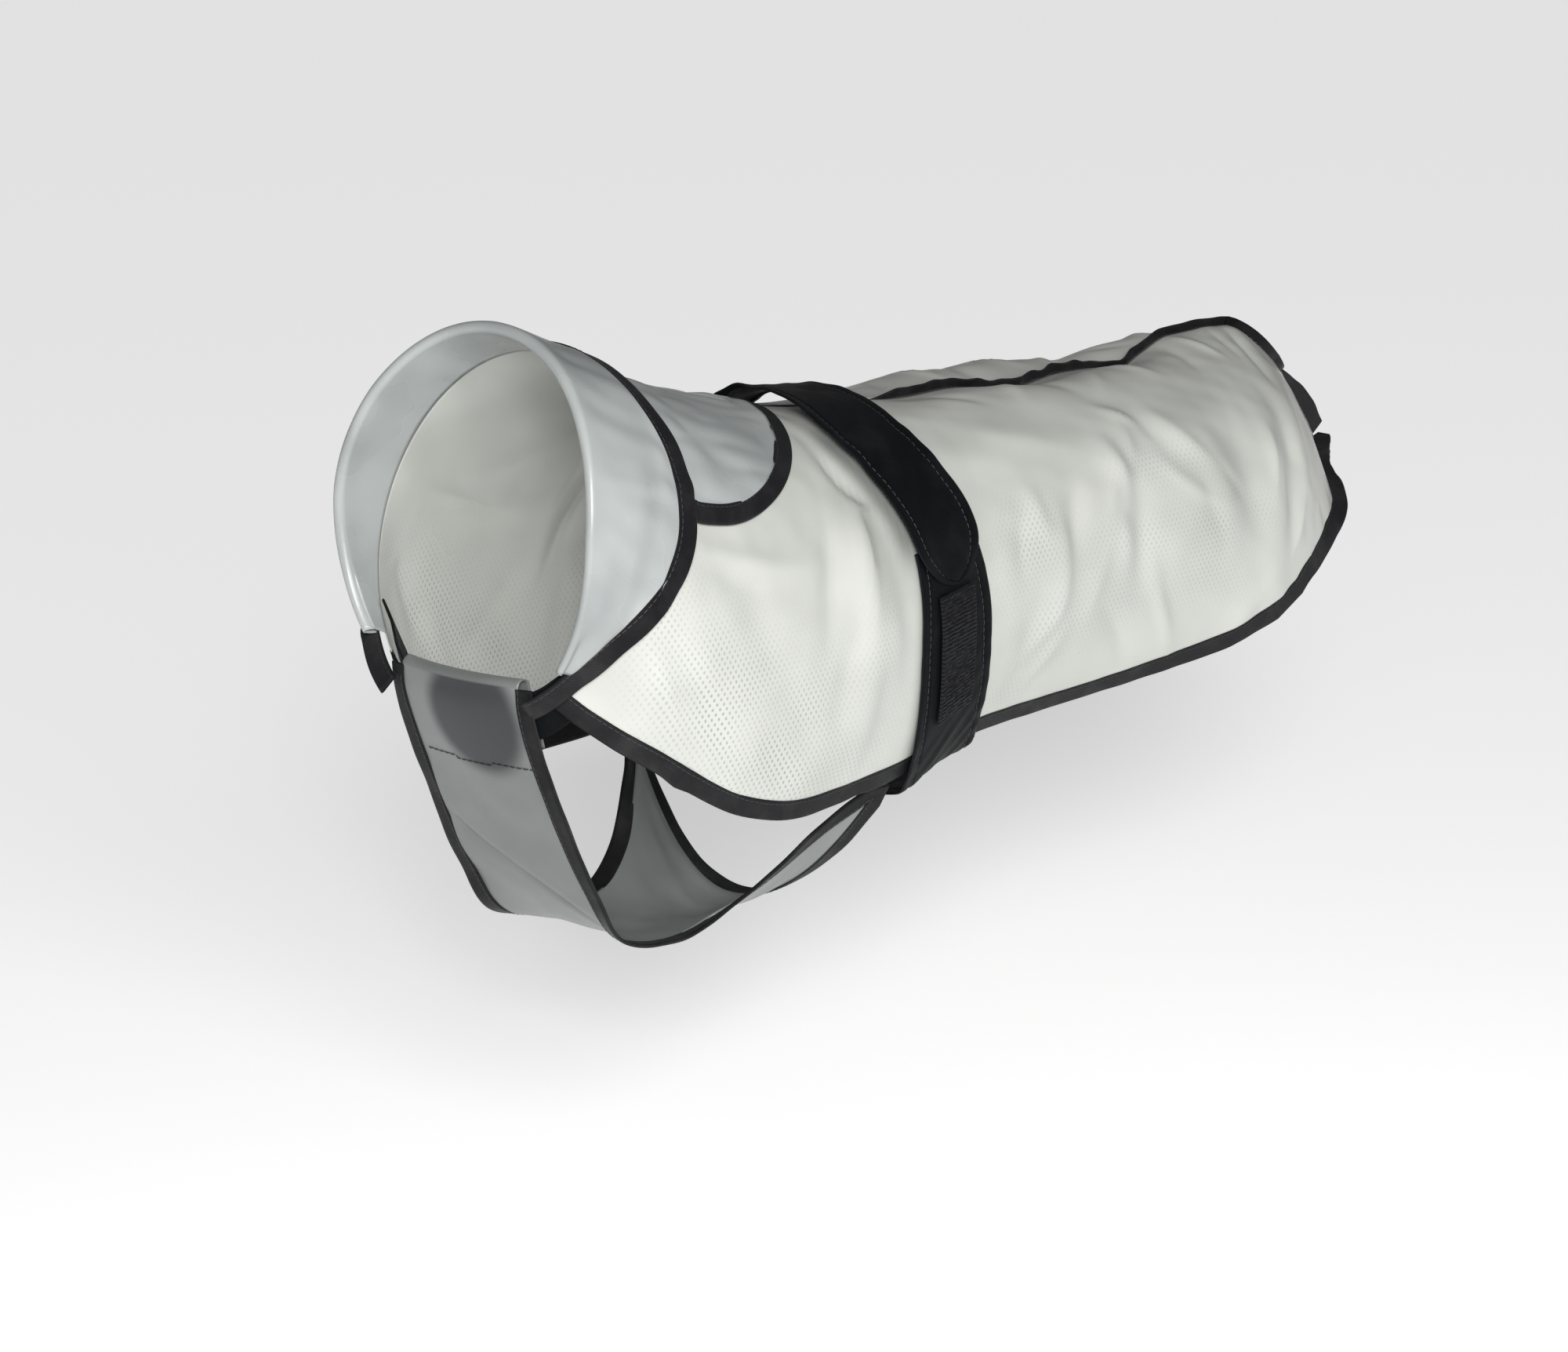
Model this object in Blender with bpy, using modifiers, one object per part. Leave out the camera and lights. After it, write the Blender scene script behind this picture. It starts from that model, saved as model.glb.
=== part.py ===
"""A dog's raincoat: clear film bound with black tape, worn on a general four-legged figure.

Units are metres, +Z is up. The wearer faces -X and its left flank is toward -Y. The origin is on the
inside of the back, just behind the shoulders, where the coat rests on the wearer.

The cloth lies on a skin worked out from rings of the trunk. A place on it is a ring number (0 is the
neck seam, 11 the tail end) and an angle in degrees from the back, positive on the left flank. Each
piece is an open surface on that skin, given its thickness by Solidify.
"""

import math
from collections import namedtuple

import bmesh
import bpy
import numpy as np

# ---- Driving dimensions --------------------------------------------------------------------------
FILM = 0.0010  # wall of the clear film
TAPE = 0.0020  # folded binding, both plies
WEBBING = 0.0014  # nylon of the belt and straps
TAPE_WIDTH = 0.0090
CHEST_TAPE_WIDTH = 0.0075
HOLE_TAPE_WIDTH = 0.0054
SEAM_GAP = 0.0003
COLLAR_GAP = 0.0005  # the stand leans on the slanted neck seam
LAYER_GAP = 0.0005  # between a panel and what lies on it
BELT_WIDTH = 0.060
FIN_THICKNESS = 0.0020  # the bound back seam stands up between the panels
BACK_FIN = 0.0054
TAIL_FIN = 0.0125
TAIL_HOLE_HALF_WIDTH = 0.022  # in the film, before it is bound
TAIL_HOLE_RINGS = (7.95, 9.15)
STRAIGHT_TO = 6.50  # rings past this one slant toward the tail edge
COLLAR_STAND = 0.036
COLLAR_FOLD_RADIUS = 0.0022
NECK_AXIS = (-0.93, 0.0, 0.37)

Ring = namedtuple("Ring", "top_x top_z low_x low_z half_width crown belly hem")
# Trunk rings. top and low are the ends on the midline, half_width the reach to each side, crown and
# belly the squareness of the upper and lower half (2 is an ellipse), hem the angle where the film ends.
RINGS = (
    Ring(-0.240, 0.0565, -0.298, -0.112, 0.080, 2.00, 2.0, 137.0),  # neck seam
    Ring(-0.195, 0.0355, -0.268, -0.172, 0.094, 2.10, 2.0, 122.0),  # shoulder
    Ring(-0.130, 0.0170, -0.213, -0.236, 0.101, 2.20, 2.0, 113.0),  # front leg
    Ring(-0.070, 0.0050, -0.110, -0.217, 0.099, 2.20, 2.5, 115.0),  # front edge of the belt
    Ring(-0.010, 0.0000, -0.015, -0.197, 0.095, 2.40, 2.2, 122.0),  # rear edge of the belt
    Ring(0.080, 0.0000, 0.085, -0.195, 0.098, 2.45, 2.2, 121.0),  # loin
    Ring(0.180, -0.0040, 0.185, -0.212, 0.101, 2.40, 2.2, 105.5),  # flank
    Ring(0.255, -0.0045, 0.235, -0.232, 0.100, 2.05, 2.2, 91.5),  # hip
    Ring(0.308, -0.0045, 0.245, -0.235, 0.097, 1.46, 2.1, 88.0),  # tail hole
    Ring(0.347, -0.0260, 0.240, -0.232, 0.100, 1.02, 2.0, 84.0),
    Ring(0.376, -0.0575, 0.240, -0.226, 0.100, 0.95, 2.0, 80.0),
    Ring(0.397, -0.0845, 0.240, -0.220, 0.098, 0.92, 2.0, 78.0),  # tail end of the seam
)
RING_PITCH = 0.062  # mean distance between rings along the flank
FLANK_RADIUS = 0.100

Fold = namedtuple("Fold", "ring angle turn length width height")
# Largest folds. turn is the angle of the fold's run from the girth direction, height is negative in a
# trough. Lengths are half lengths and half widths.
FOLDS = (
    Fold(6.25, -17, 0, 0.030, 0.024, -0.0050),
    Fold(5.9, 62, 8, 0.040, 0.012, 0.0022),
    Fold(6.6, 70, -14, 0.046, 0.011, 0.0026),
    Fold(7.2, 58, -26, 0.038, 0.012, 0.0020),
    Fold(6.2, 66, -2, 0.036, 0.010, -0.0016),
    Fold(6.9, 62, -20, 0.040, 0.010, -0.0018),
    Fold(5.2, 92, 62, 0.050, 0.014, -0.0018),
    Fold(2.6, 70, 34, 0.045, 0.013, 0.0026),
    Fold(2.4, 98, -30, 0.040, 0.012, 0.0022),
    Fold(1.6, 84, 58, 0.045, 0.014, -0.0018),
    Fold(5.6, -70, -10, 0.042, 0.012, 0.0022),
    Fold(6.5, -60, 16, 0.040, 0.012, 0.0024),
    Fold(7.1, -72, 24, 0.036, 0.011, 0.0020),
    Fold(2.5, -76, -36, 0.042, 0.013, 0.0024),
    Fold(1.7, -92, -50, 0.040, 0.013, -0.0018),
)

Pucker = namedtuple("Pucker", "ring rise lean")
# The back seam is longer than the back, so it rises, dips and leans on its way to the tail.
PUCKERS = (
    Pucker(0.0, 0.0, 0.0),
    Pucker(3.9, -0.0010, 0.0),
    Pucker(4.4, -0.0042, 0.0),
    Pucker(4.8, -0.0055, 0.0010),
    Pucker(5.25, -0.0098, -0.0060),
    Pucker(5.75, -0.0072, 0.0015),
    Pucker(6.0, -0.0066, 0.0014),
    Pucker(6.25, -0.0084, -0.0030),
    Pucker(6.55, -0.0045, 0.0),
    Pucker(7.0, 0.0006, 0.0030),
    Pucker(7.4, 0.0006, 0.0),
    Pucker(7.75, -0.0008, 0.0),
    Pucker(11.0, 0.0, 0.0),
)

TailEdge = namedtuple("TailEdge", "angle ring flare")
# Where the film ends at the tail, from the seam round to the hem, and how far its tape turns out.
TAIL_EDGE = (
    TailEdge(0, 10.85, 0),
    TailEdge(18, 10.50, 12),
    TailEdge(34, 9.90, 34),
    TailEdge(52, 9.00, 36),
    TailEdge(66, 8.15, 24),
    TailEdge(76, 7.65, 10),
    TailEdge(84, 7.35, 4),
    TailEdge(92, 7.10, 0),
)

CollarEdge = namedtuple("CollarEdge", "angle ring lift stand")
# The collar's free edge, the same on both sides: where it lies on the skin, how far it stands off, and
# the height of the stand inside it as a share of COLLAR_STAND.
COLLAR_EDGE = (
    CollarEdge(0, 0.08, 0.0046, 1.00),
    CollarEdge(20, 0.16, 0.0046, 1.00),
    CollarEdge(35, 0.28, 0.0046, 1.00),
    CollarEdge(52, 0.43, 0.0049, 1.00),
    CollarEdge(71, 0.50, 0.0050, 0.95),
    CollarEdge(86, 0.42, 0.0046, 0.85),
    CollarEdge(99, 0.26, 0.0042, 0.68),
    CollarEdge(115, 0.06, 0.0040, 0.44),
    CollarEdge(130, -0.04, 0.0036, 0.24),
)

FlapEdge = namedtuple("FlapEdge", "angle ring")
# The nape flap's rounded outline on its left half, from the midline to the side.
FLAP_ROOT = 0.08
FLAP_EDGE = (
    FlapEdge(0, 2.26),
    FlapEdge(10, 2.22),
    FlapEdge(23, 2.07),
    FlapEdge(36, 1.85),
    FlapEdge(47.5, 1.55),
    FlapEdge(56, 1.20),
    FlapEdge(61, 0.78),
)

BeltPlace = namedtuple("BeltPlace", "angle ring lift width")
# Centre line of the belt, how far its inner face stands off the skin, and its width.
BACK_STRAP = (
    BeltPlace(-179.8, 3.80, -0.0210, 0.060),
    BeltPlace(-152, 3.76, -0.0180, 0.060),
    BeltPlace(-141, 3.71, -0.0095, 0.060),
    BeltPlace(-134, 3.68, -0.0010, 0.060),
    BeltPlace(-128, 3.65, 0.0036, 0.060),
    BeltPlace(-112, 3.59, 0.0032, 0.060),
    BeltPlace(-90, 3.52, 0.0024, 0.060),
    BeltPlace(-60, 3.48, 0.0026, 0.056),
    BeltPlace(-30, 3.36, 0.0048, 0.047),
    BeltPlace(0, 3.19, 0.0086, 0.058),
    BeltPlace(25, 3.12, 0.0054, 0.059),
    BeltPlace(42, 3.23, 0.0044, 0.054),
    BeltPlace(60, 3.39, 0.0042, 0.051),
    BeltPlace(80, 3.49, 0.0042, 0.049),
)
BACK_STRAP_END = 77.5
BACK_STRAP_END_RADIUS = 0.024
BELLY_STRAP = (
    BeltPlace(66, 3.42, 0.0020, 0.049),
    BeltPlace(78, 3.47, 0.0020, 0.054),
    BeltPlace(90, 3.51, 0.0021, 0.059),
    BeltPlace(112, 3.57, 0.0032, 0.062),
    BeltPlace(128, 3.65, 0.0036, 0.062),
    BeltPlace(134, 3.68, -0.0010, 0.062),
    BeltPlace(141, 3.71, -0.0095, 0.061),
    BeltPlace(152, 3.76, -0.0180, 0.060),
    BeltPlace(179.8, 3.80, -0.0210, 0.060),
)
LOOP_STRIP = (79.0, 108.0)
LOOP_STRIP_WIDTH = 0.030

ChestRow = namedtuple("ChestRow", "mid_x mid_z edge_x edge_y edge_z")
# The chest panel from the fold of its strap tunnel, down between the front legs and back to the belt:
# the middle of each row and its left edge in the film.
CHEST_ROWS = (
    ChestRow(-0.3040, -0.0915, -0.3000, 0.0380, -0.0910),
    ChestRow(-0.3025, -0.1050, -0.2985, 0.0380, -0.1045),
    ChestRow(-0.2925, -0.1300, -0.2895, 0.0375, -0.1295),
    ChestRow(-0.2740, -0.1680, -0.2720, 0.0380, -0.1680),
    ChestRow(-0.2560, -0.1975, -0.2550, 0.0385, -0.1995),
    ChestRow(-0.2310, -0.2245, -0.2350, 0.0385, -0.2260),
    ChestRow(-0.1980, -0.2375, -0.2010, 0.0380, -0.2355),
    ChestRow(-0.1650, -0.2410, -0.1660, 0.0370, -0.2330),
    ChestRow(-0.1385, -0.2430, -0.1340, 0.0480, -0.2170),
    ChestRow(-0.1200, -0.2425, -0.1100, 0.0645, -0.1945),
    ChestRow(-0.1060, -0.2400, -0.0915, 0.0796, -0.1780),
)
TUNNEL_DEPTH = 0.0078  # between the two plies of the chest panel's top
TUNNEL_LENGTH = 0.032

StrapPlace = namedtuple("StrapPlace", "y z top_depth low_depth")
# Centre line of the neck strap, from the left front corner through the tunnel to the right one, and how
# deep its upper and lower edges lie behind the chest panel.
NECK_STRAP = (
    StrapPlace(-0.0590, -0.0900, 0.0087, 0.0190),
    StrapPlace(-0.0520, -0.0965, 0.0074, 0.0157),
    StrapPlace(-0.0455, -0.1025, 0.0046, 0.0091),
    StrapPlace(-0.0380, -0.1055, 0.0034, 0.0042),
    StrapPlace(-0.0190, -0.1070, 0.0034, 0.0034),
    StrapPlace(0.0, -0.1070, 0.0034, 0.0034),
    StrapPlace(0.0190, -0.1060, 0.0034, 0.0034),
    StrapPlace(0.0380, -0.1025, 0.0034, 0.0044),
    StrapPlace(0.0462, -0.0950, 0.0026, 0.0094),
    StrapPlace(0.0520, -0.0885, 0.0042, 0.0138),
    StrapPlace(0.0575, -0.0825, 0.0056, 0.0167),
    StrapPlace(0.0635, -0.0760, 0.0052, 0.0155),
)
NECK_STRAP_WIDTH = 0.024
TAB_WIDTH = 0.052
TAB_LENGTH = 0.036
TAB_Y, TAB_Z = -0.0085, -0.0960  # top of the rounded tab between strap and outer ply
TAB_DEPTH = 0.0014

COLOURS = {
    "clear_film": ((0.62, 0.64, 0.61, 1.0), 0.38, 0.0),
    "binding_tape": ((0.018, 0.018, 0.020, 1.0), 0.55, 0.0),
    "black_nylon": ((0.012, 0.013, 0.016, 1.0), 0.60, 0.0),
    "loop_pile": ((0.010, 0.010, 0.012, 1.0), 0.85, 0.0),
}


# ---- Tables and the skin -------------------------------------------------------------------------
def curve(rows, column, at, key=None):
    """Value of one named column on a smooth curve through the rows of a table.

    The place is a row number, or the value of the column named by key.
    """
    values = np.array([getattr(row, column) for row in rows], dtype=float)
    at = np.asarray(at, dtype=float)
    if key is not None:
        keys = np.array([getattr(row, key) for row in rows], dtype=float)
        at = np.interp(at, keys, np.arange(len(rows)))
    last = len(rows) - 1
    row = np.clip(np.floor(at), 0, last - 1).astype(int)
    t = at - row
    before = values[np.clip(row - 1, 0, last)]
    start, end = values[row], values[row + 1]
    after = values[np.clip(row + 2, 0, last)]
    before = np.where(row == 0, 2 * start - end, before)
    after = np.where(row == last - 1, 2 * end - start, after)
    t = np.clip(t, -0.5, 1.5)
    return 0.5 * (
        2 * start
        + (end - before) * t
        + (2 * before - 5 * start + 4 * end - after) * t**2
        + (3 * start - before - 3 * end + after) * t**3
    )


def bare_skin(ring, angle):
    """Points of the trunk's skin without folds."""
    ring, angle = np.broadcast_arrays(np.asarray(ring, float), np.asarray(angle, float))
    top = np.stack([curve(RINGS, "top_x", ring), curve(RINGS, "top_z", ring)], -1)
    low = np.stack([curve(RINGS, "low_x", ring), curve(RINGS, "low_z", ring)], -1)
    down, out = np.cos(np.radians(angle)), np.sin(np.radians(angle))
    squareness = np.where(down > 0, curve(RINGS, "crown", ring), curve(RINGS, "belly", ring))
    along = np.sign(down) * np.abs(down) ** (2 / squareness)
    aside = np.sign(out) * np.abs(out) ** (2 / squareness)
    middle = (top + low) / 2 + (top - low) / 2 * along[..., None]
    return np.stack([middle[..., 0], -aside * curve(RINGS, "half_width", ring), middle[..., 1]], -1)


def outward(ring, angle):
    """Unit normals of the skin, pointing away from the wearer."""
    step_ring, step_angle = 0.02, 1.0
    along = bare_skin(ring + step_ring, angle) - bare_skin(ring - step_ring, angle)
    around = bare_skin(ring, angle + step_angle) - bare_skin(ring, angle - step_angle)
    normal = np.cross(around, along)
    return normal / np.linalg.norm(normal, axis=-1, keepdims=True)


def fold_height(ring, angle):
    """Height of all the folds at a place on the skin."""
    total = np.zeros(np.broadcast(ring, angle).shape)
    for fold in FOLDS:
        dx = (ring - fold.ring) * RING_PITCH
        dy = np.radians(angle - fold.angle) * FLANK_RADIUS
        turn = math.radians(fold.turn)
        along = dy * math.cos(turn) + dx * math.sin(turn)
        across = dx * math.cos(turn) - dy * math.sin(turn)
        total = total + fold.height * np.exp(-((along / fold.length) ** 4) - (across / fold.width) ** 2)
    return total


def under_belt(ring, angle):
    """1 where the belt presses the film flat, falling to 0 beside it."""
    centre = curve(BACK_STRAP, "ring", np.clip(np.abs(angle), 0, 96), key="angle")
    beyond = np.clip((np.abs(ring - centre) * RING_PITCH - BELT_WIDTH / 2) / 0.014, 0, 1)
    return 1 - beyond * beyond * (3 - 2 * beyond)


def seam_fade(angle):
    """1 on the back seam, falling to 0 beside it."""
    return np.exp(-((np.radians(angle) * FLANK_RADIUS / 0.018) ** 2))


def skin(ring, angle, lift=0.0):
    """Points of the film's inner face, moved out by a lift."""
    ring, angle = np.asarray(ring, float), np.asarray(angle, float)
    relief = fold_height(ring, angle) * (1 - under_belt(ring, angle))
    relief = relief + curve(PUCKERS, "rise", ring, key="ring") * seam_fade(angle)
    return bare_skin(ring, angle) + outward(ring, angle) * np.asarray(relief + lift)[..., None]


def angle_at_width(ring, reach):
    """Angle on the crown of a ring where the skin is a given distance from the midline."""
    share = np.clip(reach / curve(RINGS, "half_width", ring), 0, 1)
    return np.degrees(np.arcsin(share ** (curve(RINGS, "crown", ring) / 2)))


# ---- Making solids -------------------------------------------------------------------------------
def fresh_collection(name):
    collection = bpy.data.collections.new(name)
    bpy.context.scene.collection.children.link(collection)
    return collection


def finish_material(name):
    """A plain Principled material with the piece's colour."""
    found = bpy.data.materials.get(name)
    if found:
        return found
    colour, roughness, metallic = COLOURS[name]
    material = bpy.data.materials.new(name)
    material.use_nodes = True
    shader = material.node_tree.nodes["Principled BSDF"]
    shader.inputs["Base Color"].default_value = colour
    shader.inputs["Roughness"].default_value = roughness
    shader.inputs["Metallic"].default_value = metallic
    material.diffuse_color = colour
    return material


def facing_out(grid, heart):
    """The grid with its columns ordered so that its faces look away from the heart of the figure."""
    rows, columns = grid.shape[0] // 2, grid.shape[1] // 2
    here = grid[rows, columns]
    along = grid[min(rows + 1, len(grid) - 1), columns] - grid[rows - 1, columns]
    across = grid[rows, min(columns + 1, grid.shape[1] - 1)] - grid[rows, columns - 1]
    return grid if np.dot(np.cross(along, across), here - heart) > 0 else grid[:, ::-1]


def cloth(name, grid, thickness, material, collection, heart=(0.0, 0.0, -0.1), offset=1.0, loop=False):
    """A sheet of cloth through a grid of points, with its wall made by Solidify.

    The grid lies on the inner face (offset 1) or in the middle of the wall (offset 0).
    """
    centre = np.array([grid[grid.shape[0] // 2, grid.shape[1] // 2, 0], heart[1], heart[2]])
    grid = facing_out(np.asarray(grid, float), centre)
    rows, columns = grid.shape[:2]
    body = bmesh.new()
    verts = [[body.verts.new(point) for point in row] for row in grid]
    for i in range(rows if loop else rows - 1):
        for j in range(columns - 1):
            k = (i + 1) % rows
            body.faces.new((verts[i][j], verts[k][j], verts[k][j + 1], verts[i][j + 1]))
    mesh = bpy.data.meshes.new(name)
    body.to_mesh(mesh)
    body.free()
    mesh.shade_smooth()
    mesh.materials.append(finish_material(material))
    piece = bpy.data.objects.new(name, mesh)
    collection.objects.link(piece)
    wall = piece.modifiers.new("wall", "SOLIDIFY")
    wall.thickness = thickness
    wall.offset = offset
    return piece


def unit(vectors):
    return vectors / np.maximum(np.linalg.norm(vectors, axis=-1, keepdims=True), 1e-12)


def tape_grid(edge, inside, normals, width=TAPE_WIDTH, loop=False, flare=0.0):
    """Grid of a tape that carries on from a film edge: two columns, beside the edge and a width off.

    edge holds the film's edge in the middle of the tape's wall, inside the points of the film next to
    it, normals the outward normals, flare the angle the tape turns out from the film.
    """
    ahead = np.roll(edge, -1, 0) - edge
    if not loop:
        ahead[-1] = ahead[-2]
    behind = np.roll(ahead, 1, 0)
    if not loop:
        behind[0] = ahead[0]
    run = unit(unit(ahead) + unit(behind))
    beside = unit(np.cross(run, normals))
    beside *= np.sign(np.sum(beside * (edge - inside), -1, keepdims=True))
    stretch = 1 / np.maximum(np.sum(run * unit(ahead), -1, keepdims=True), 0.7)
    turn = np.radians(flare) * np.ones(len(edge))
    across = beside * np.cos(turn)[:, None] + normals * np.sin(turn)[:, None]
    bend = np.abs(np.sum(unit(edge - inside) * normals, -1, keepdims=True))
    near = edge + beside * (SEAM_GAP + bend * FILM) + normals * FILM / 2 * np.sin(turn)[:, None]
    return np.stack([near, near + across * width * stretch], 1)


# ---- Panels and their bindings -------------------------------------------------------------------
def film_edge_angles(ring):
    """Angle of the panel's top edge: beside the back seam, and round the tail hole."""
    start, end = TAIL_HOLE_RINGS
    along = np.clip((ring - (start + end) / 2) / ((end - start) / 2), -1, 1)
    reach = np.maximum(TAIL_HOLE_HALF_WIDTH * np.sqrt(1 - along**2), FIN_THICKNESS / 2 + SEAM_GAP)
    return angle_at_width(ring, reach)


HOLE_TURN = np.linspace(180.0, 0.0, 9)  # rows round the tail hole
PANEL_RINGS = np.concatenate(
    [
        np.linspace(0.0, 4.2, 13),
        np.linspace(4.2, 7.72, 19)[1:],
        np.mean(TAIL_HOLE_RINGS) + np.ptp(TAIL_HOLE_RINGS) / 2 * np.cos(np.radians(HOLE_TURN)),
        np.linspace(9.4, TAIL_EDGE[0].ring, 5),
    ]
)
PANEL_STEPS = np.linspace(0.0, 1.0, 13)


def panel_grid(flank):
    """Inner face of a side panel, rings by steps from the back seam to the hem."""
    row = PANEL_RINGS[:, None]
    top = film_edge_angles(row)
    ring = row + 0 * PANEL_STEPS
    for _ in range(6):  # the tail edge depends on the angle, and the hem's angle on the ring
        angle = top + (curve(RINGS, "hem", ring) - top) * PANEL_STEPS
        rear = curve(TAIL_EDGE, "ring", angle, key="angle")
        slant = (rear - STRAIGHT_TO) / (TAIL_EDGE[0].ring - STRAIGHT_TO)
        ring = np.where(row > STRAIGHT_TO, STRAIGHT_TO + (row - STRAIGHT_TO) * slant, row)
    points = skin(ring, angle * flank)
    lean = curve(PUCKERS, "lean", ring, key="ring")
    points[..., 1] = -flank * np.maximum(-flank * points[..., 1], FIN_THICKNESS / 2 + SEAM_GAP)
    points[..., 1] += lean * seam_fade(angle)
    return points, outward(ring, angle * flank), angle


def side_panel(name, flank, collection):
    points, _, _ = panel_grid(flank)
    return cloth(name, points, FILM, "clear_film", collection)


def hem_binding(name, flank, collection):
    """Tape along the hem, from the throat to the tail end, then up the tail end to the midline."""
    points, normals, angle = panel_grid(flank)
    edge = np.concatenate([points[:, -1], points[-1, -2::-1]])
    inside = np.concatenate([points[:, -2], points[-2, -2::-1]])
    lean = np.concatenate([normals[:, -1], normals[-1, -2::-1]])
    flare = np.concatenate([0 * PANEL_RINGS, curve(TAIL_EDGE, "flare", angle[-1, -2::-1], key="angle")])
    strip = tape_grid(edge + lean * FILM / 2, inside, lean, flare=flare)
    strip[-1, 1, 1] = strip[-1, 0, 1]
    return cloth(name, strip, TAPE, "binding_tape", collection, offset=0.0)


def tail_hole_binding(collection):
    """Tape round the inside of the tail hole."""
    start, end = (int(np.argmin(np.abs(PANEL_RINGS - ring))) for ring in TAIL_HOLE_RINGS)
    sides = []
    for flank in (1, -1):
        points, normals, _ = panel_grid(flank)
        rows = np.arange(start, end) if flank > 0 else np.arange(end, start, -1)
        sides.append([points[rows, 0], points[rows, 1], normals[rows, 0]])
    edge, inside, normals = (np.concatenate(pair) for pair in zip(*sides))
    ends = [0, end - start]
    edge[ends, 1] = normals[ends, 1] = 0
    inside[ends] = bare_skin(np.array(TAIL_HOLE_RINGS) + [-0.3, 0.3], 0.0)
    normals = unit(normals)
    strip = tape_grid(edge + normals * FILM / 2, inside, normals, width=HOLE_TAPE_WIDTH, loop=True)
    return cloth("tail_hole_binding", strip, TAPE, "binding_tape", collection, offset=0.0, loop=True)


def seam_fin(name, start, end, rise_to, full, collection):
    """A bound seam on the midline that rises to its full height over a stretch of rings."""
    between = PANEL_RINGS[(PANEL_RINGS > start + 0.05) & (PANEL_RINGS < end - 0.05)]
    ring = np.concatenate([[start], between, [end]])
    risen = np.clip((ring - rise_to[0]) / (rise_to[1] - rise_to[0]), 0, 1)
    height = FILM + (full - FILM) * risen * risen * (3 - 2 * risen)
    middle = np.mean([panel_grid(flank)[0][:, 0] for flank in (1, -1)], 0)
    foot = np.stack([np.interp(ring, PANEL_RINGS, column) for column in middle.T], -1)
    crest = foot + outward(ring, 0.0) * height[:, None]
    return cloth(name, np.stack([foot, crest], 1), FIN_THICKNESS, "binding_tape", collection, offset=0.0)


# ---- Collar --------------------------------------------------------------------------------------
def collar_sections():
    """Sections of the collar round the neck: up the stand, over the fold and down the fall."""
    ends = COLLAR_EDGE[-1].angle
    angle = np.linspace(-ends, ends, 35)
    place = np.abs(angle)
    axis = np.array(NECK_AXIS)
    base = skin(np.zeros(angle.shape), angle)
    out = outward(np.zeros(angle.shape), angle)
    stand = curve(COLLAR_EDGE, "stand", place, key="angle")[:, None] * COLLAR_STAND
    edge_ring = curve(COLLAR_EDGE, "ring", place, key="angle")
    lift = curve(COLLAR_EDGE, "lift", place, key="angle")
    edge = skin(edge_ring, angle, lift)
    rows = [base + axis * COLLAR_GAP, base + axis * stand * 0.55]
    for turn in (0, 60, 120, 180):
        around = math.radians(turn)
        rim = out * (1 - math.cos(around)) + axis * math.sin(around)
        rows.append(base + axis * stand + rim * COLLAR_FOLD_RADIUS)
    fold = rows[-1]
    for share in (0.35, 0.7, 1.0):
        ring = edge_ring * share - stand[:, 0] / RING_PITCH * (1 - share)
        on_skin = skin(np.maximum(ring, 0), angle, lift)
        straight = fold + (edge - fold) * share
        blend = np.clip(ring / 0.25, 0, 1)[:, None]
        rows.append(straight * (1 - blend) + on_skin * blend)
    grid = np.stack(rows, 1)
    normals = outward(edge_ring, angle)
    return grid, normals


def collar(collection):
    grid, _ = collar_sections()
    return cloth("collar", grid, FILM, "clear_film", collection, heart=(0.0, 0.0, -0.02))


def collar_binding(collection):
    grid, normals = collar_sections()
    strip = tape_grid(grid[:, -1] + normals * FILM / 2, grid[:, -2], normals)
    return cloth("collar_binding", strip, TAPE, "binding_tape", collection, offset=0.0)


# ---- Nape flap -----------------------------------------------------------------------------------
def flap_grid():
    """Inner face of the nape flap, rows from its root under the collar to its rounded edge."""
    at = np.concatenate([np.linspace(6, 0, 13), np.linspace(0, 6, 13)[1:]])
    angle = curve(FLAP_EDGE, "angle", at) * np.where(np.arange(len(at)) < 13, 1, -1)
    share = np.linspace(0, 1, 6)[:, None]
    ring = FLAP_ROOT + (curve(FLAP_EDGE, "ring", at)[None, :] - FLAP_ROOT) * share
    angle = np.broadcast_to(angle[None, :], ring.shape)
    return skin(ring, angle, FILM + LAYER_GAP + (TAPE - FILM) / 2), outward(ring, angle)


def nape_flap(collection):
    points, _ = flap_grid()
    return cloth("nape_flap", points, FILM, "clear_film", collection)


def nape_flap_binding(collection):
    points, normals = flap_grid()
    edge = np.concatenate([points[:-1, 0], points[-1], points[-2::-1, -1]])
    inside = np.concatenate([points[:-1, 1], points[-2], points[-2::-1, -2]])
    lean = np.concatenate([normals[:-1, 0], normals[-1], normals[-2::-1, -1]])
    strip = tape_grid(edge + lean * FILM / 2, inside, lean)
    return cloth("nape_flap_binding", strip, TAPE, "binding_tape", collection, offset=0.0)


# ---- Belt ----------------------------------------------------------------------------------------
def strap_grid(places, angle, across=4, width=None, extra=0.0):
    """Inner face of a strap on the belt's centre line, a row for each angle."""
    centre = curve(places, "ring", angle, key="angle")
    lift = curve(places, "lift", angle, key="angle") + extra
    width = curve(places, "width", angle, key="angle") if width is None else width
    pitch = np.linalg.norm(bare_skin(centre + 0.3, angle) - bare_skin(centre - 0.3, angle), axis=-1) / 0.6
    side = np.linspace(-0.5, 0.5, across)[None, :]
    ring = centre[:, None] + (width / pitch)[:, None] * side
    around = np.broadcast_to(angle[:, None], ring.shape)
    return skin(ring, around, lift[:, None])


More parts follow.
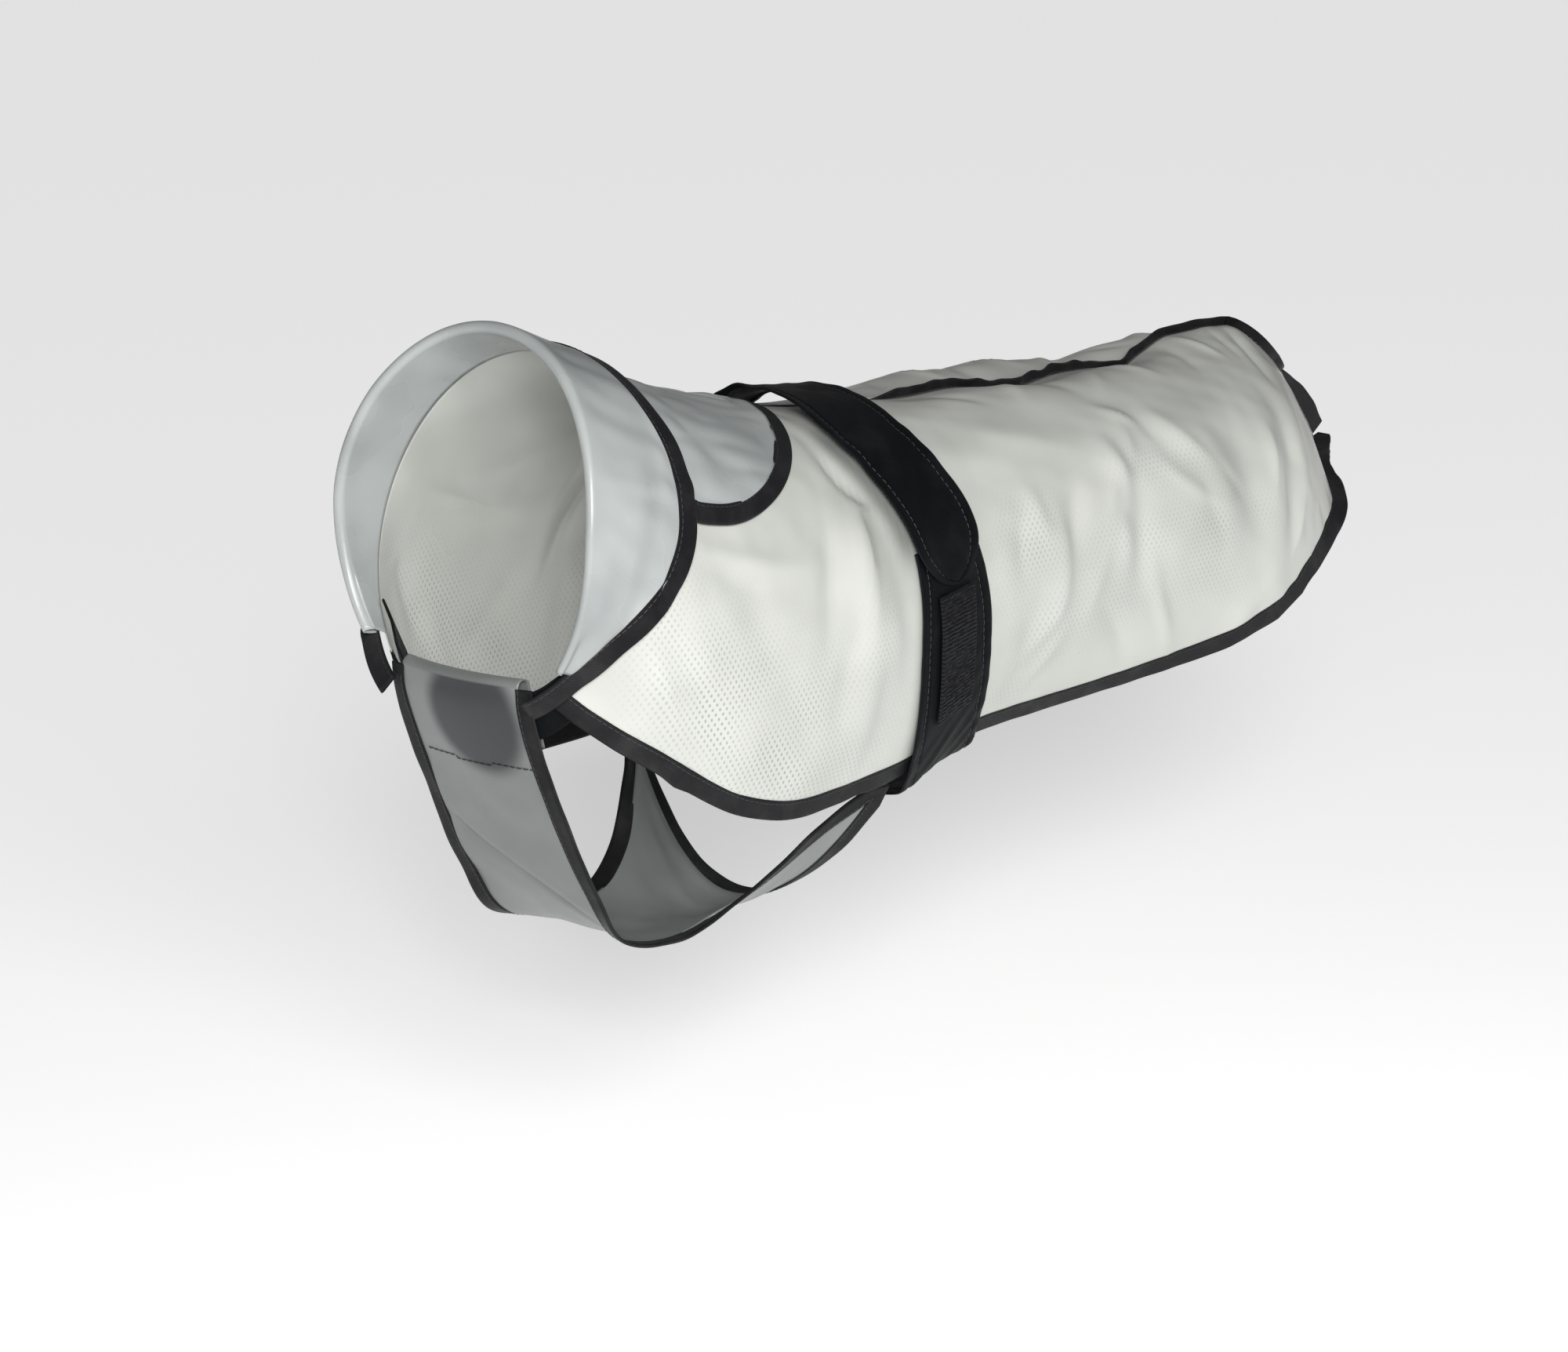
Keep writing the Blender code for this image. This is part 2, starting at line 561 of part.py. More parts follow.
def rounded_end(angle, end, width, radius):
    """Width of a strap near its half-round end."""
    left = np.clip(np.radians(end - angle) * FLANK_RADIUS / radius, 0, 1)
    return width * np.sqrt(np.maximum(1 - (1 - left) ** 2, 0.03))


def back_strap(collection):
    """From the belly up the right flank, over the back and down to a rounded end on the left flank."""
    end = BACK_STRAP_END - np.array([12, 8, 5, 3, 1.4, 0.5, 0])
    angle = np.concatenate([np.linspace(BACK_STRAP[0].angle, 60, 42), end])
    width = curve(BACK_STRAP, "width", angle, key="angle")
    width = rounded_end(angle, BACK_STRAP_END, width, BACK_STRAP_END_RADIUS)
    grid = strap_grid(BACK_STRAP, angle, width=width)
    return cloth("belt_back_strap", grid, WEBBING, "black_nylon", collection)


def belly_strap(collection):
    """From under the back strap down the left flank to the middle of the belly."""
    grid = strap_grid(BELLY_STRAP, np.linspace(BELLY_STRAP[0].angle, BELLY_STRAP[-1].angle, 24))
    return cloth("belt_belly_strap", grid, WEBBING, "black_nylon", collection)


def loop_strip(collection):
    """Loop half of the closure, sewn on the belly strap below the back strap's end."""
    angle = np.linspace(*LOOP_STRIP, 7)
    width = np.full(angle.shape, LOOP_STRIP_WIDTH)
    grid = strap_grid(BELLY_STRAP, angle, across=3, width=width, extra=WEBBING + SEAM_GAP)
    return cloth("belt_loop_strip", grid, WEBBING, "loop_pile", collection)


# ---- Chest panel and neck strap ------------------------------------------------------------------
def chest_rows(at, across):
    """Points of the chest panel's outer ply, seen from the tunnel's fold down."""
    side = np.linspace(-1, 1, across)[None, :]
    columns = {name: curve(CHEST_ROWS, name, at)[:, None] for name in ChestRow._fields}
    bow = side**2
    x = columns["mid_x"] + (columns["edge_x"] - columns["mid_x"]) * bow
    z = columns["mid_z"] + (columns["edge_z"] - columns["mid_z"]) * bow
    return np.stack([x, columns["edge_y"] * side, z], -1)


def chest_grid(across=11):
    """Tunnel face of the chest panel: up the inner ply, over the fold, down the front and to the belt."""
    outer = chest_rows(np.linspace(0, len(CHEST_ROWS) - 1, 27), across)
    inward = np.array([TUNNEL_DEPTH, 0.0, 0.0])
    drop = np.linspace(1, 0, 6)[:-1, None, None] * np.array([0.010, 0.0, -TUNNEL_LENGTH])
    inner = outer[:1] + inward + drop
    turn = np.radians([0, 45, 90, 135])[:, None, None]
    radius = TUNNEL_DEPTH / 2
    around = np.concatenate([radius * np.cos(turn), 0 * turn, radius * np.sin(turn)], -1)
    fold = outer[:1] + inward / 2 + around
    return np.concatenate([inner, fold, outer]), len(inner) + len(fold)


def chest_panel(collection):
    grid, _ = chest_grid()
    return cloth("chest_panel", grid, FILM, "clear_film", collection, heart=(0.0, 0.0, -0.15))


def grid_normals(grid):
    along = np.gradient(grid, axis=0)
    across = np.gradient(grid, axis=1)
    return unit(np.cross(across, along))


def chest_binding(collection):
    """Tape down one side of the chest panel, across its rear edge and up the other side."""
    grid, start = chest_grid()
    front = grid[start:]
    normals = grid_normals(front)
    normals *= np.sign(-normals[3:4, 5:6, :1])
    edge = np.concatenate([front[:-1, 0], front[-1], front[-2::-1, -1]])
    inside = np.concatenate([front[:-1, 1], front[-2], front[-2::-1, -2]])
    lean = np.concatenate([normals[:-1, 0], normals[-1], normals[-2::-1, -1]])
    strip = tape_grid(edge + lean * FILM / 2, inside, lean, width=CHEST_TAPE_WIDTH)
    return cloth("chest_binding", strip, TAPE, "binding_tape", collection, (0.0, 0.0, -0.15), offset=0.0)


def behind_chest(y, z, depth):
    """Points a given depth behind the chest panel's outer ply."""
    at = np.linspace(0, 4, 33)
    ply = {name: curve(CHEST_ROWS, name, at)[:, None] for name in ChestRow._fields}
    bow = (y.ravel() / ply["edge_y"]) ** 2
    ply_x = ply["mid_x"] + (ply["edge_x"] - ply["mid_x"]) * bow
    ply_z = ply["mid_z"] + (ply["edge_z"] - ply["mid_z"]) * bow
    columns = zip(z.ravel(), ply_z.T, ply_x.T)
    x = np.array([np.interp(-height, -heights, reach) for height, heights, reach in columns])
    return np.stack([x.reshape(y.shape) + depth, y, z], -1)


def neck_strap(collection):
    """The strap through the tunnel, from one front corner of the coat to the other."""
    at = np.linspace(0, len(NECK_STRAP) - 1, 34)[:, None]
    down = np.linspace(0, 1, 3)[None, :]
    top, low = curve(NECK_STRAP, "top_depth", at), curve(NECK_STRAP, "low_depth", at)
    height = NECK_STRAP_WIDTH * np.cos(np.arctan2(low - top, NECK_STRAP_WIDTH))
    z = curve(NECK_STRAP, "z", at) + height * (0.5 - down)
    grid = behind_chest(curve(NECK_STRAP, "y", at) + 0 * down, z, top + (low - top) * down)
    return cloth("neck_strap", grid, WEBBING, "black_nylon", collection, offset=0.0)


def neck_tab(collection):
    """Rounded tab of the closure, hanging in the tunnel in front of the strap."""
    down = np.concatenate([[0, 0.25], 1 - 0.6 * np.cos(np.radians(np.linspace(20, 90, 7)))])
    left = np.clip((1 - down) * TAB_LENGTH / (TAB_WIDTH / 2), 0, 1)
    width = TAB_WIDTH * np.sqrt(np.maximum(1 - (1 - left) ** 2, 0.02))
    y = TAB_Y + width[:, None] * np.linspace(-0.5, 0.5, 6)[None, :]
    z = TAB_Z - down[:, None] * TAB_LENGTH + 0 * y
    grid = behind_chest(y, z, TAB_DEPTH)
    return cloth("neck_tab", grid, WEBBING, "loop_pile", collection, offset=0.0)


def build():
    for item in list(bpy.data.objects):
        bpy.data.objects.remove(item, do_unlink=True)
    coat = fresh_collection("dog_raincoat")
    side_panel("side_panel_left", 1, coat)
    side_panel("side_panel_right", -1, coat)
    hem_binding("hem_binding_left", 1, coat)
    hem_binding("hem_binding_right", -1, coat)
    tail_hole_binding(coat)
    seam_fin("back_seam_binding", 0.0, TAIL_HOLE_RINGS[0] - 0.01, (4.12, 4.4), BACK_FIN, coat)
    seam_fin("tail_seam_binding", TAIL_HOLE_RINGS[1] + 0.01, TAIL_EDGE[0].ring, (9.1, 10.2), TAIL_FIN, coat)
    collar(coat)
    collar_binding(coat)
    nape_flap(coat)
    nape_flap_binding(coat)
    back_strap(coat)
    belly_strap(coat)
    loop_strip(coat)
    chest_panel(coat)
    chest_binding(coat)
    neck_strap(coat)
    neck_tab(coat)


if __name__ == "__main__":
    build()
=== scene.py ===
"""Looks of a dog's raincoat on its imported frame.

Cloudy clear film with soft dots is bound with black folded tape, and a black nylon belt holds it.
Units are metres, +Z is up, the neck is toward -X and the left flank toward -Y. Every piece of cloth
stands on the form of its solid: the same rings, edges and straps, with finer creases.
"""

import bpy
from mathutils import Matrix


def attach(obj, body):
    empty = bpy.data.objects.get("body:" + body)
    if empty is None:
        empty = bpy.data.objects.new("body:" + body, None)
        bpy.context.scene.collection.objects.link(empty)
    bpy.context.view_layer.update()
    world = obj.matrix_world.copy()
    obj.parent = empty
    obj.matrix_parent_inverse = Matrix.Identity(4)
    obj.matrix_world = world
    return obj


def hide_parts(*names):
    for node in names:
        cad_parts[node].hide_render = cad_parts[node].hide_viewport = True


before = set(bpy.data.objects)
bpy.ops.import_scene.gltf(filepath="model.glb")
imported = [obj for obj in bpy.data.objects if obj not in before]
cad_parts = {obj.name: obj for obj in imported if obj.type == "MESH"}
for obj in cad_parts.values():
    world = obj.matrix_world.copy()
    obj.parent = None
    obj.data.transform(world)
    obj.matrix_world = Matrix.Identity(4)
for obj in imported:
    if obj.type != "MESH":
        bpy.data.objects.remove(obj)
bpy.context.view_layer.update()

import logging
import math
from dataclasses import dataclass, field
from enum import Enum
from typing import NamedTuple, Optional, Sequence

import bpy
import numpy as np
from mathutils import Matrix

Array = np.ndarray
Piece = bpy.types.Object
Pieces = list[Piece]
Group = bpy.types.NodeTree
Socket = bpy.types.NodeSocket
LOG = logging.getLogger("dog_raincoat")
BODY = "root"

# ---- Sizes of the cloth --------------------------------------------------------------------------
FILM_SOLID = 0.0010  # wall of the film's solids, which the tapes are set against
FILM_WALL = 0.0006  # wall that shows
TAPE_WALL = 0.0019
WEBBING = 0.0014
LAYER_GAP = 0.0005
SEAM_GAP = 0.0003
FIN_HALF = 0.0010
RING_PITCH = 0.062  # mean distance between rings along the flank
FLANK_RADIUS = 0.100  # turns an angle on the flank into metres
SEAM_REACH = 0.018  # how far beside the back seam its rise and lean are felt
BELT_WIDTH = 0.060
BELT_RELEASE = 0.014  # how far beside the belt the film is held down
TAIL_HOLE_HALF_WIDTH = 0.022
TAIL_HOLE = (7.95, 9.15)  # rings where it starts and ends
STRAIGHT_TO = 6.50  # rings past this one slant toward the tail edge
COLLAR_STAND = 0.036
COLLAR_FOLD = 0.0022  # radius of the fold over the stand
NECK_AXIS = np.array((-0.93, 0.0, 0.37))
FORWARD = np.array((-1.0, 0.0, 0.0))  # toward the neck
FLAP_ROOT = 0.08  # ring of the flap's seam
FLAP_SOLID = 0.0020  # wall of the flap's solid
TUNNEL_DEPTH = 0.0078
TUNNEL_LENGTH = 0.032
BACK_SEAM = "back_seam_tape"


# ---- Tables --------------------------------------------------------------------------------------
class Ring(NamedTuple):
    """A ring of the trunk: its ends on the midline, reach, squareness and the hem's angle."""

    top_x: float
    top_z: float
    low_x: float
    low_z: float
    half_width: float
    crown: float
    belly: float
    hem: float


class Crease(NamedTuple):
    """A soft ridge or trough: its middle, its turn, half length, half width and height."""

    ring: float
    angle: float
    turn: float
    length: float
    width: float
    height: float
    bend: float = 0.0


class Pucker(NamedTuple):
    """How the back seam rises and leans at a ring."""

    ring: float
    rise: float
    lean: float


class TailEdge(NamedTuple):
    """Where the film ends at the tail, and how far its tape turns out, in degrees."""

    angle: float
    ring: float
    flare: float


class CollarEdge(NamedTuple):
    """The collar's free edge: place on the skin, how far it stands off, share of the stand."""

    angle: float
    ring: float
    lift: float
    stand: float


class FlapEdge(NamedTuple):
    """The nape flap's outline on its left half."""

    angle: float
    ring: float


class BeltPlace(NamedTuple):
    """Centre line of the belt, its stand-off and its width."""

    angle: float
    ring: float
    lift: float
    width: float


class ChestRow(NamedTuple):
    """A row of the chest panel: its middle and its left edge."""

    mid_x: float
    mid_z: float
    edge_x: float
    edge_y: float
    edge_z: float


class StrapPlace(NamedTuple):
    """Centre of the neck strap and how deep its edges lie behind the chest panel."""

    y: float
    z: float
    top_depth: float
    low_depth: float


class Patch(NamedTuple):
    """A soft-edged patch on the skin: middle, half sizes along and around, and strength."""

    ring: float
    angle: float
    along: float
    around: float
    strength: float


class Kink(NamedTuple):
    """A small kink of a tape's fold: its place along the tape, half length and push, in metres."""

    at: float
    half: float
    push: float


def every(kind: type, *rows: tuple) -> tuple:
    """Returns the rows as records of one kind."""
    return tuple(kind(*row) for row in rows)


@dataclass(frozen=True)
class Table:
    """Rows with named columns, read along smooth curves."""

    rows: tuple
    key: Optional[str] = None

    @classmethod
    def of(cls, kind: type, *rows: tuple, key: Optional[str] = None) -> "Table":
        """Returns a table of the rows as records of one kind."""
        return cls(every(kind, *rows), key)

    def at(self, column: str, place: Array | float) -> Array:
        """Reads a column between the rows.

        Args:
            column: name of the column.
            place: row numbers, or values of the key column where the table has one.

        Returns:
            The values of the smooth curve there.
        """
        values = np.array([getattr(row, column) for row in self.rows], dtype=float)
        place = np.asarray(place, dtype=float)
        keys, slopes = self.rise(values)
        row = np.clip(np.searchsorted(keys, place, side="right") - 1, 0, self.last - 1)
        span = keys[row + 1] - keys[row]
        t = np.clip((place - keys[row]) / span, -0.5, 1.5)
        shift = (3 - 2 * t) * t**2
        leave = (t**3 - 2 * t**2 + t) * span * slopes[row]
        arrive = (t**3 - t**2) * span * slopes[row + 1]
        return values[row] * (1 - shift) + values[row + 1] * shift + leave + arrive

    def rise(self, values: Array) -> tuple:
        """Works out the slope at each row, with no overshoot between uneven keys.

        Args:
            values: a column of the table.

        Returns:
            The keys and the slopes.
        """
        if not self.key:
            keys = np.arange(len(values), dtype=float)
            return keys, np.gradient(values)
        keys = np.array([getattr(row, self.key) for row in self.rows], dtype=float)
        steps = np.diff(values) / np.diff(keys)
        steps = np.concatenate([steps[:1], steps, steps[-1:]])
        before, after = steps[:-1], steps[1:]
        same = before * after > 0
        mean = 2 * before * after / np.where(same, before + after, 1.0)
        return keys, np.where(same, mean, 0.0)

    @property
    def last(self) -> int:
        """Number of the last row."""
        return len(self.rows) - 1


RINGS = Table.of(
    Ring,
    (-0.240, 0.0565, -0.298, -0.112, 0.080, 2.00, 2.0, 137.0),
    (-0.195, 0.0355, -0.268, -0.172, 0.094, 2.10, 2.0, 122.0),
    (-0.130, 0.0170, -0.213, -0.236, 0.101, 2.20, 2.0, 113.0),
    (-0.070, 0.0050, -0.110, -0.217, 0.099, 2.20, 2.5, 115.0),
    (-0.010, 0.0000, -0.015, -0.197, 0.095, 2.40, 2.2, 122.0),
    (0.080, 0.0000, 0.085, -0.195, 0.098, 2.45, 2.2, 121.0),
    (0.180, -0.0040, 0.185, -0.212, 0.101, 2.40, 2.2, 105.5),
    (0.255, -0.0045, 0.235, -0.232, 0.100, 2.05, 2.2, 91.5),
    (0.308, -0.0045, 0.245, -0.235, 0.097, 1.46, 2.1, 88.0),
    (0.347, -0.0260, 0.240, -0.232, 0.100, 1.02, 2.0, 84.0),
    (0.376, -0.0575, 0.240, -0.226, 0.100, 0.95, 2.0, 80.0),
    (0.397, -0.0845, 0.240, -0.220, 0.098, 0.92, 2.0, 78.0),
)
BROAD_FOLDS = every(
    Crease,
    (6.25, -17, 0, 0.030, 0.024, -0.0050), (5.9, 62, 8, 0.040, 0.012, 0.0022),
    (6.6, 70, -14, 0.046, 0.011, 0.0026), (7.2, 58, -26, 0.038, 0.012, 0.0020),
    (6.2, 66, -2, 0.036, 0.010, -0.0016), (6.9, 62, -20, 0.040, 0.010, -0.0018),
    (5.2, 92, 62, 0.050, 0.014, -0.0018), (2.6, 70, 34, 0.045, 0.013, 0.0026),
    (2.4, 98, -30, 0.040, 0.012, 0.0022), (1.6, 84, 58, 0.045, 0.014, -0.0018),
    (5.6, -70, -10, 0.042, 0.012, 0.0022), (6.5, -60, 16, 0.040, 0.012, 0.0024),
    (7.1, -72, 24, 0.036, 0.011, 0.0020), (2.5, -76, -36, 0.042, 0.013, 0.0024),
    (1.7, -92, -50, 0.040, 0.013, -0.0018),
)
PUCKERS = Table.of(
    Pucker,
    (0.0, 0.0, 0.0), (3.9, -0.0010, 0.0), (4.4, -0.0042, 0.0), (4.8, -0.0055, 0.0010),
    (5.25, -0.0098, -0.0060), (5.75, -0.0072, 0.0015), (6.0, -0.0066, 0.0014),
    (6.25, -0.0084, -0.0030), (6.55, -0.0045, 0.0), (7.0, 0.0006, 0.0030), (7.4, 0.0006, 0.0),
    (7.75, -0.0008, 0.0), (11.0, 0.0, 0.0),
    key="ring",
)
TAIL_EDGE = Table.of(
    TailEdge,
    (0, 10.85, 84), (18, 10.60, 70), (34, 9.80, 72), (44, 9.18, 74), (52, 8.76, 68), (60, 8.42, 56),
    (67, 8.12, 42), (76, 7.65, 22), (84, 7.22, 8), (92, 6.84, 0), (100, 6.56, 0),
    key="angle",
)
COLLAR_EDGE = Table.of(
    CollarEdge,
    (0, 0.08, 0.0046, 1.00), (20, 0.16, 0.0046, 1.00), (35, 0.28, 0.0046, 1.00),
    (52, 0.43, 0.0049, 1.00), (71, 0.50, 0.0050, 0.95), (86, 0.42, 0.0046, 0.85),
    (99, 0.26, 0.0042, 0.68), (115, 0.06, 0.0040, 0.44), (130, -0.04, 0.0036, 0.24),
    key="angle",
)
FLAP_EDGE = Table.of(
    FlapEdge,
    (0, 2.26), (10, 2.22), (23, 2.07), (36, 1.85), (47.5, 1.55), (56, 1.20), (61, 0.78),
)
BACK_STRAP = Table.of(
    BeltPlace,
    (-179.8, 3.80, -0.0210, 0.060), (-152, 3.76, -0.0180, 0.060), (-141, 3.71, -0.0095, 0.060),
    (-134, 3.68, -0.0010, 0.060), (-128, 3.65, 0.0036, 0.060), (-112, 3.59, 0.0032, 0.060),
    (-90, 3.52, 0.0024, 0.060), (-60, 3.48, 0.0026, 0.056), (-30, 3.36, 0.0048, 0.047),
    (0, 3.19, 0.0086, 0.058), (25, 3.12, 0.0054, 0.059), (42, 3.23, 0.0044, 0.054),
    (60, 3.39, 0.0042, 0.051), (80, 3.49, 0.0042, 0.049),
    key="angle",
)
BELLY_STRAP = Table.of(
    BeltPlace,
    (66, 3.42, 0.0020, 0.049), (78, 3.47, 0.0020, 0.054), (90, 3.51, 0.0021, 0.059),
    (112, 3.57, 0.0032, 0.062), (128, 3.65, 0.0036, 0.062), (134, 3.68, -0.0010, 0.062),
    (141, 3.71, -0.0095, 0.061), (152, 3.76, -0.0180, 0.060), (179.8, 3.80, -0.0210, 0.060),
    key="angle",
)
CHEST_ROWS = Table.of(
    ChestRow,
    (-0.3040, -0.0915, -0.3000, 0.0380, -0.0910), (-0.3025, -0.1050, -0.2985, 0.0380, -0.1045),
    (-0.2925, -0.1300, -0.2895, 0.0375, -0.1295), (-0.2740, -0.1680, -0.2720, 0.0380, -0.1680),
    (-0.2560, -0.1975, -0.2550, 0.0385, -0.1995), (-0.2310, -0.2245, -0.2350, 0.0385, -0.2260),
    (-0.1980, -0.2375, -0.2010, 0.0380, -0.2355), (-0.1650, -0.2410, -0.1660, 0.0370, -0.2330),
    (-0.1385, -0.2430, -0.1340, 0.0480, -0.2170), (-0.1200, -0.2425, -0.1100, 0.0645, -0.1945),
    (-0.1060, -0.2400, -0.0915, 0.0796, -0.1780),
)
NECK_STRAP = Table.of(
    StrapPlace,
    (-0.0590, -0.0900, 0.0087, 0.0190), (-0.0520, -0.0965, 0.0074, 0.0157),
    (-0.0455, -0.1025, 0.0046, 0.0091), (-0.0380, -0.1055, 0.0034, 0.0042),
    (-0.0190, -0.1070, 0.0034, 0.0034), (0.0, -0.1070, 0.0034, 0.0034),
    (0.0190, -0.1060, 0.0034, 0.0034), (0.0380, -0.1025, 0.0034, 0.0044),
    (0.0462, -0.0950, 0.0026, 0.0094), (0.0520, -0.0885, 0.0042, 0.0138),
    (0.0575, -0.0825, 0.0056, 0.0167), (0.0635, -0.0760, 0.0052, 0.0155),
)

# Creases that are pressed and pulled into the film, on each flank and beside the back seam.
LEFT_CREASES = every(
    Crease,
    (5.13, 59, 2, 0.017, 0.0052, 0.0026), (5.22, 78, -4, 0.024, 0.0060, -0.0018),
    (5.09, 80, 3, 0.012, 0.0035, 0.0012), (5.38, 39, 32, 0.010, 0.0032, 0.0014),
    (5.72, 51, 26, 0.024, 0.0048, 0.0015, 8.0), (5.95, 62, 30, 0.016, 0.0040, -0.0009),
    (4.70, 74, -8, 0.020, 0.0065, -0.0022), (4.55, 89, -20, 0.028, 0.0045, 0.0017, -9.0),
    (4.05, 87, 4, 0.022, 0.0060, 0.0012), (4.28, 98, -14, 0.020, 0.0070, -0.0010),
    (5.37, 99, 14, 0.020, 0.0026, 0.0013), (6.20, 97, -44, 0.034, 0.0080, 0.0014),
    (6.42, 88, -46, 0.030, 0.0070, -0.0010), (6.86, 79, -32, 0.014, 0.0050, 0.0014),
    (5.85, 113, -34, 0.026, 0.0080, 0.0010), (4.60, 42, 54, 0.030, 0.0090, 0.0009),
    (5.30, 50, -10, 0.013, 0.0034, 0.0010), (5.52, 46, 18, 0.016, 0.0040, -0.0009),
    (5.02, 68, -14, 0.012, 0.0036, 0.0010), (5.62, 66, 40, 0.014, 0.0034, 0.0009, 12.0),
    (5.80, 74, 12, 0.018, 0.0046, -0.0008), (4.86, 88, -26, 0.016, 0.0040, 0.0009),
    (4.42, 66, 10, 0.014, 0.0040, 0.0010), (4.24, 74, -12, 0.014, 0.0038, -0.0008),
    (4.46, 106, -30, 0.014, 0.0040, 0.0010), (5.02, 104, 24, 0.016, 0.0050, -0.0009),
    (6.60, 62, -20, 0.016, 0.0044, 0.0010), (7.55, 22, -18, 0.020, 0.0060, -0.0016),
    (2.50, 61, 3, 0.021, 0.0062, 0.0030, 5.0), (2.20, 67, 1, 0.028, 0.0080, -0.0018),
    (2.52, 43, 28, 0.022, 0.0036, -0.0018, 7.0), (2.66, 51, 62, 0.008, 0.0040, 0.0016),
    (2.58, 77, 5, 0.013, 0.0040, 0.0013), (2.42, 91, -5, 0.018, 0.0070, -0.0015),
    (2.66, 96, 2, 0.020, 0.0065, 0.0012), (1.34, 68, 102, 0.034, 0.0048, 0.0015),
    (1.30, 74, 98, 0.030, 0.0090, -0.0008), (1.62, 96, -28, 0.028, 0.0110, 0.0010),
    (1.95, 105, 58, 0.034, 0.0100, -0.0010), (0.78, 108, 66, 0.024, 0.0050, 0.0009),
    (1.15, 103, 72, 0.026, 0.0060, -0.0008),
)
RIGHT_CREASES = every(
    Crease,
    (5.30, 62, -4, 0.022, 0.0056, 0.0024, -6.0), (5.14, 80, 5, 0.024, 0.0060, -0.0016),
    (5.62, 44, -28, 0.014, 0.0036, 0.0014), (4.85, 72, 10, 0.022, 0.0070, -0.0020),
    (4.62, 86, 18, 0.026, 0.0048, 0.0016, 8.0), (4.12, 82, -6, 0.024, 0.0058, 0.0013),
    (4.36, 104, 8, 0.018, 0.0060, -0.0010), (5.70, 101, -10, 0.022, 0.0030, 0.0012),
    (6.05, 92, -38, 0.036, 0.0080, 0.0015), (6.35, 84, -50, 0.030, 0.0070, -0.0011),
    (6.80, 74, -26, 0.016, 0.0050, 0.0013), (6.02, 58, 22, 0.022, 0.0050, 0.0012),
    (2.46, 66, -5, 0.024, 0.0064, 0.0026, -4.0), (2.16, 60, 4, 0.026, 0.0080, -0.0016),
    (2.58, 46, 24, 0.020, 0.0040, -0.0016, 6.0), (2.60, 90, -3, 0.022, 0.0060, 0.0014),
    (1.46, 66, 98, 0.030, 0.0050, 0.0014), (1.80, 92, -34, 0.030, 0.0100, 0.0011),
    (1.60, 104, 62, 0.032, 0.0090, -0.0010), (0.90, 100, 70, 0.026, 0.0060, 0.0009),
)
SEAM_CREASES = every(
    Crease,
    (4.55, 13, 20, 0.013, 0.0036, -0.0010), (4.95, 15, -16, 0.016, 0.0040, 0.0010),
    (5.26, 14, 8, 0.018, 0.0044, -0.0013), (5.58, 17, -24, 0.015, 0.0036, 0.0010),
    (5.98, 13, 18, 0.013, 0.0034, 0.0009), (6.60, 15, -22, 0.016, 0.0040, -0.0010),
    (6.98, 12, 12, 0.012, 0.0034, 0.0010), (7.34, 14, -20, 0.014, 0.0036, -0.0008),
    (2.60, 14, 26, 0.012, 0.0040, -0.0010),
)
# Where rows of soft dots show in the film.
DOT_PATCHES = every(
    Patch,
    (1.55, 101, 0.075, 0.034, 1.00), (0.95, 112, 0.030, 0.018, 0.70),
    (2.25, 106, 0.035, 0.022, 0.80), (2.72, 84, 0.012, 0.026, 0.45), (4.32, 76, 0.022, 0.026, 0.62),
    (4.50, 96, 0.024, 0.024, 0.50), (4.98, 88, 0.020, 0.024, 0.55), (5.52, 60, 0.028, 0.016, 0.48),
    (5.62, 84, 0.034, 0.022, 0.62), (6.12, 72, 0.026, 0.018, 0.40), (4.15, 114, 0.018, 0.010, 0.35),
)
LEFT_HEM_KINKS = every(Kink, (0.078, 0.006, 0.0011), (0.205, 0.007, -0.0005))
RIGHT_HEM_KINKS = every(Kink, (0.120, 0.007, 0.0008))
COLLAR_KINKS = every(Kink, (0.349, 0.005, 0.0007), (0.398, 0.006, -0.0006), (0.150, 0.006, 0.0005))


# ---- Small tools ---------------------------------------------------------------------------------
def unit(vectors: Array) -> Array:
    """Returns the vectors at length one."""
    return vectors / np.maximum(np.linalg.norm(vectors, axis=-1, keepdims=True), 1e-12)


def smooth(value: Array) -> Array:
    """Returns a value from 0 to 1 with soft ends."""
    value = np.clip(value, 0, 1)
    return value * value * (3 - 2 * value)


def fade(value: Array, start: Array | float, over: float) -> Array:
    """Returns 0 at the start and 1 past it, or 1 before it and 0 at it where over is negative."""
    return smooth((value - start) / over)


def bell(value: Array, width: float) -> Array:
    """Returns 1 at zero, falling off to both sides over a width."""
    return np.exp(-((value / width) ** 2))


def rounded(inset: Array, radius: float, least: float) -> Array:
    """Returns the share of its thickness that a rounded side has at an inset, never below least."""
    return np.sqrt(np.clip(1 - (1 - np.clip(inset / radius, 0, 1)) ** 2, least, 1))


def on_flank(ring: Array, angle: Array) -> tuple[Array, Array]:
    """Returns rings and angles as metres along the coat and round it."""
    return ring * RING_PITCH, np.radians(angle) * FLANK_RADIUS


def beside_seam(angle: Array) -> Array:
    """Returns 1 at the back seam, falling to 0 beside it."""
    return bell(on_flank(0.0, angle)[1], SEAM_REACH)


